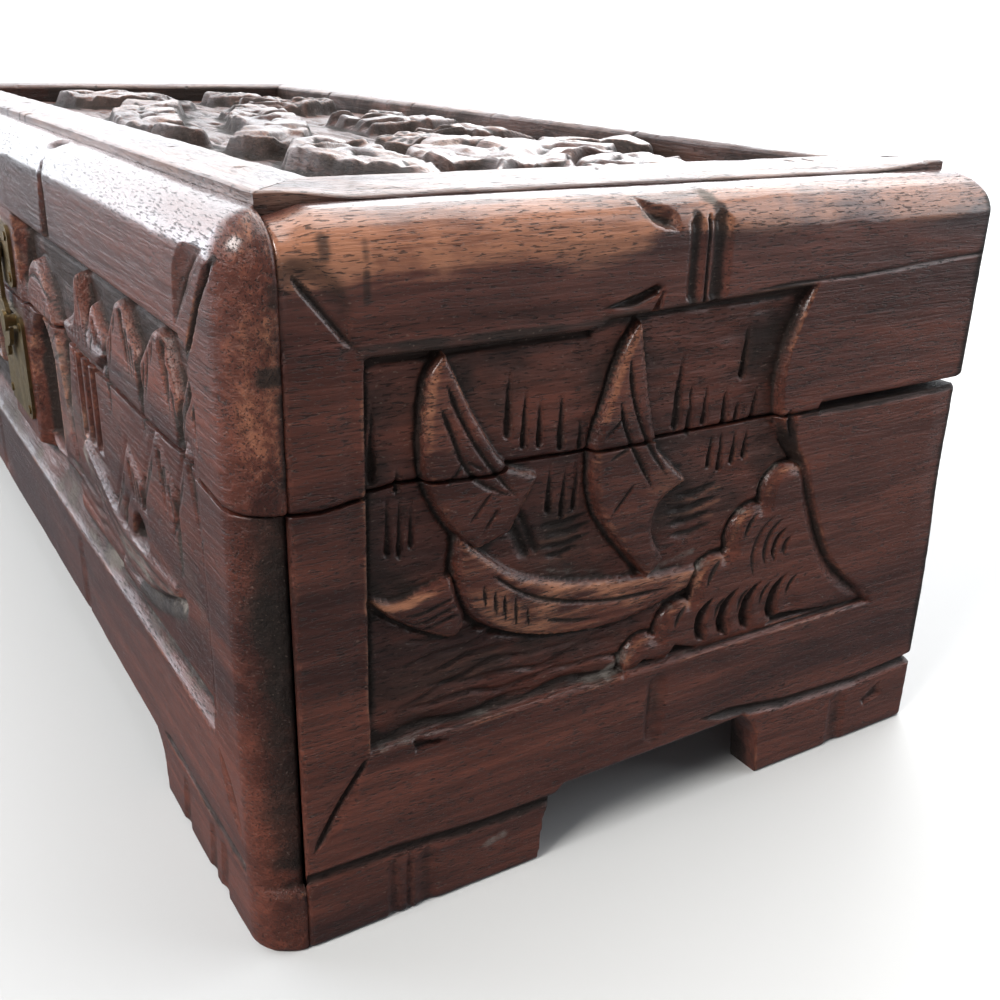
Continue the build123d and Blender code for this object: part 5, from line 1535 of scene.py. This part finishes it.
def set_lights():
    """A bright room: a window in front to the right, a roof light behind, and two windows to the left."""
    world = bpy.data.worlds.new("room")
    world.use_nodes = True
    background = world.node_tree.nodes["Background"]
    background.inputs["Color"].default_value = (0.86, 0.92, 1.0, 1)
    background.inputs["Strength"].default_value = 0.15
    bpy.context.scene.world = world
    warm_day = (1.0, 0.985, 0.96)
    white_day = (1.0, 0.99, 0.98)
    north_sky = (0.80, 0.88, 1.0)
    pale_sky = (0.95, 0.97, 1.0)
    softbox("window", (0.45, -1.5, 1.4), (0.05, 0, 0.06), size=0.75, power=52, colour=warm_day)
    softbox("roof_light", (-0.35, 0.85, 2.0), (0.1, 0, 0.1), size=2.1, power=58, colour=white_day)
    softbox("left_window", (-1.3, -1.0, 0.5), (0, -0.05, 0.06), size=0.9, power=11, colour=north_sky)
    softbox("far_window", (-1.6, 1.6, 1.3), (0, 0, 0.1), size=1.4, power=24, colour=pale_sky)


def white_backdrop():
    """A bright curved backdrop behind the box."""
    material = bpy.data.materials.new("white_backdrop")
    material.use_nodes = True
    shader = material.node_tree.nodes["Principled BSDF"]
    shader.inputs["Base Color"].default_value = (0.9, 0.9, 0.9, 1)
    shader.inputs["Emission Color"].default_value = (0.91, 0.95, 1.0, 1)
    shader.inputs["Emission Strength"].default_value = 1.9
    radius, height = 4.0, 3.8
    below_floor = -0.001
    angles = np.radians(np.linspace(45, 238, 40))
    ring = [(radius * math.cos(angle), radius * math.sin(angle)) for angle in angles]
    points = [(x, y, z) for z in (below_floor, height) for x, y in ring]
    count = len(ring)
    faces = [(i + 1, i, i + count, i + count + 1) for i in range(count - 1)]
    mesh = bpy.data.meshes.new("backdrop")
    mesh.from_pydata(points, [], faces)
    mesh.materials.append(material)
    backdrop = bpy.data.objects.new("backdrop", mesh)
    bpy.context.scene.collection.objects.link(backdrop)


def set_camera():
    """The camera where the photo was taken from, rolled a little, as the photo was."""
    place = (0.302244, -0.119487, 0.138803)
    aim = (0.165, -0.033317, 0.072863)
    roll = math.radians(1.519)
    camera = bpy.data.cameras.new("camera")
    camera.sensor_width = 36.0
    camera.lens = 40.861
    camera.clip_start = 0.01
    holder = bpy.data.objects.new("camera", camera)
    turn = facing_turn(place, aim).to_matrix().to_4x4() @ Matrix.Rotation(roll, 4, "Z")
    holder.matrix_world = Matrix.Translation(place) @ turn
    bpy.context.scene.collection.objects.link(holder)
    bpy.context.scene.camera = holder


# The whole box

grain = wood_grain_group()
age = age_group()
# The bare colours are bare wood, and also paint highlights on lit edges.
DARK = (0.036, 0.0098, 0.0068, 1)
WARM = (0.108, 0.0290, 0.0165, 1)
BARE_AND_LIT = (0.37, 0.152, 0.078, 1)
GREY_DUST = (0.165, 0.145, 0.128, 1)
PALE_DUST = (0.30, 0.28, 0.26, 1)
TOP_WARM = (0.12, 0.050, 0.032, 1)
TOP_BARE_AND_LIT = (0.26, 0.145, 0.10, 1)
BOTTOM_WARM = (0.12, 0.055, 0.03, 1)
ALONG, ACROSS = 0.0, math.pi / 2
long_wood = aged_wood("carved_front_wood", grain, age, ALONG, DARK, WARM, BARE_AND_LIT, GREY_DUST)
end_wood = aged_wood("carved_end_wood", grain, age, ACROSS, DARK, WARM, BARE_AND_LIT, GREY_DUST)
top_wood = aged_wood("carved_lid_wood", grain, age, ALONG, DARK, TOP_WARM, TOP_BARE_AND_LIT, PALE_DUST,
                     dust_share=0.6, polish=0.6, wax_rough=0.24)
top_end_wood = aged_wood("end_moulding_wood", grain, age, ACROSS, DARK, TOP_WARM, TOP_BARE_AND_LIT, PALE_DUST,
                         dust_share=0.6, polish=0.45, wax_rough=0.26)
plain_wood = aged_wood("plain_bottom_wood", grain, age, ALONG, WARM, BOTTOM_WARM, BARE_AND_LIT, GREY_DUST)
brass = aged_brass("aged_brass", brass_patina_group())

make_end_walls(end_wood)
make_front_wall(long_wood)
make_back_wall(long_wood)
make_mouldings(top_wood, top_end_wood)
make_panel(top_wood)

for node_name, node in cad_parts.items():
    if node.hide_render:
        continue
    fitting = any(word in node_name for word in ("hinge", "catch", "hook"))
    node.data.materials.clear()
    node.data.materials.append(brass if fitting else plain_wood)

pale_floor()
white_backdrop()
set_lights()
set_camera()
bpy.context.scene.view_settings.view_transform = "Standard"
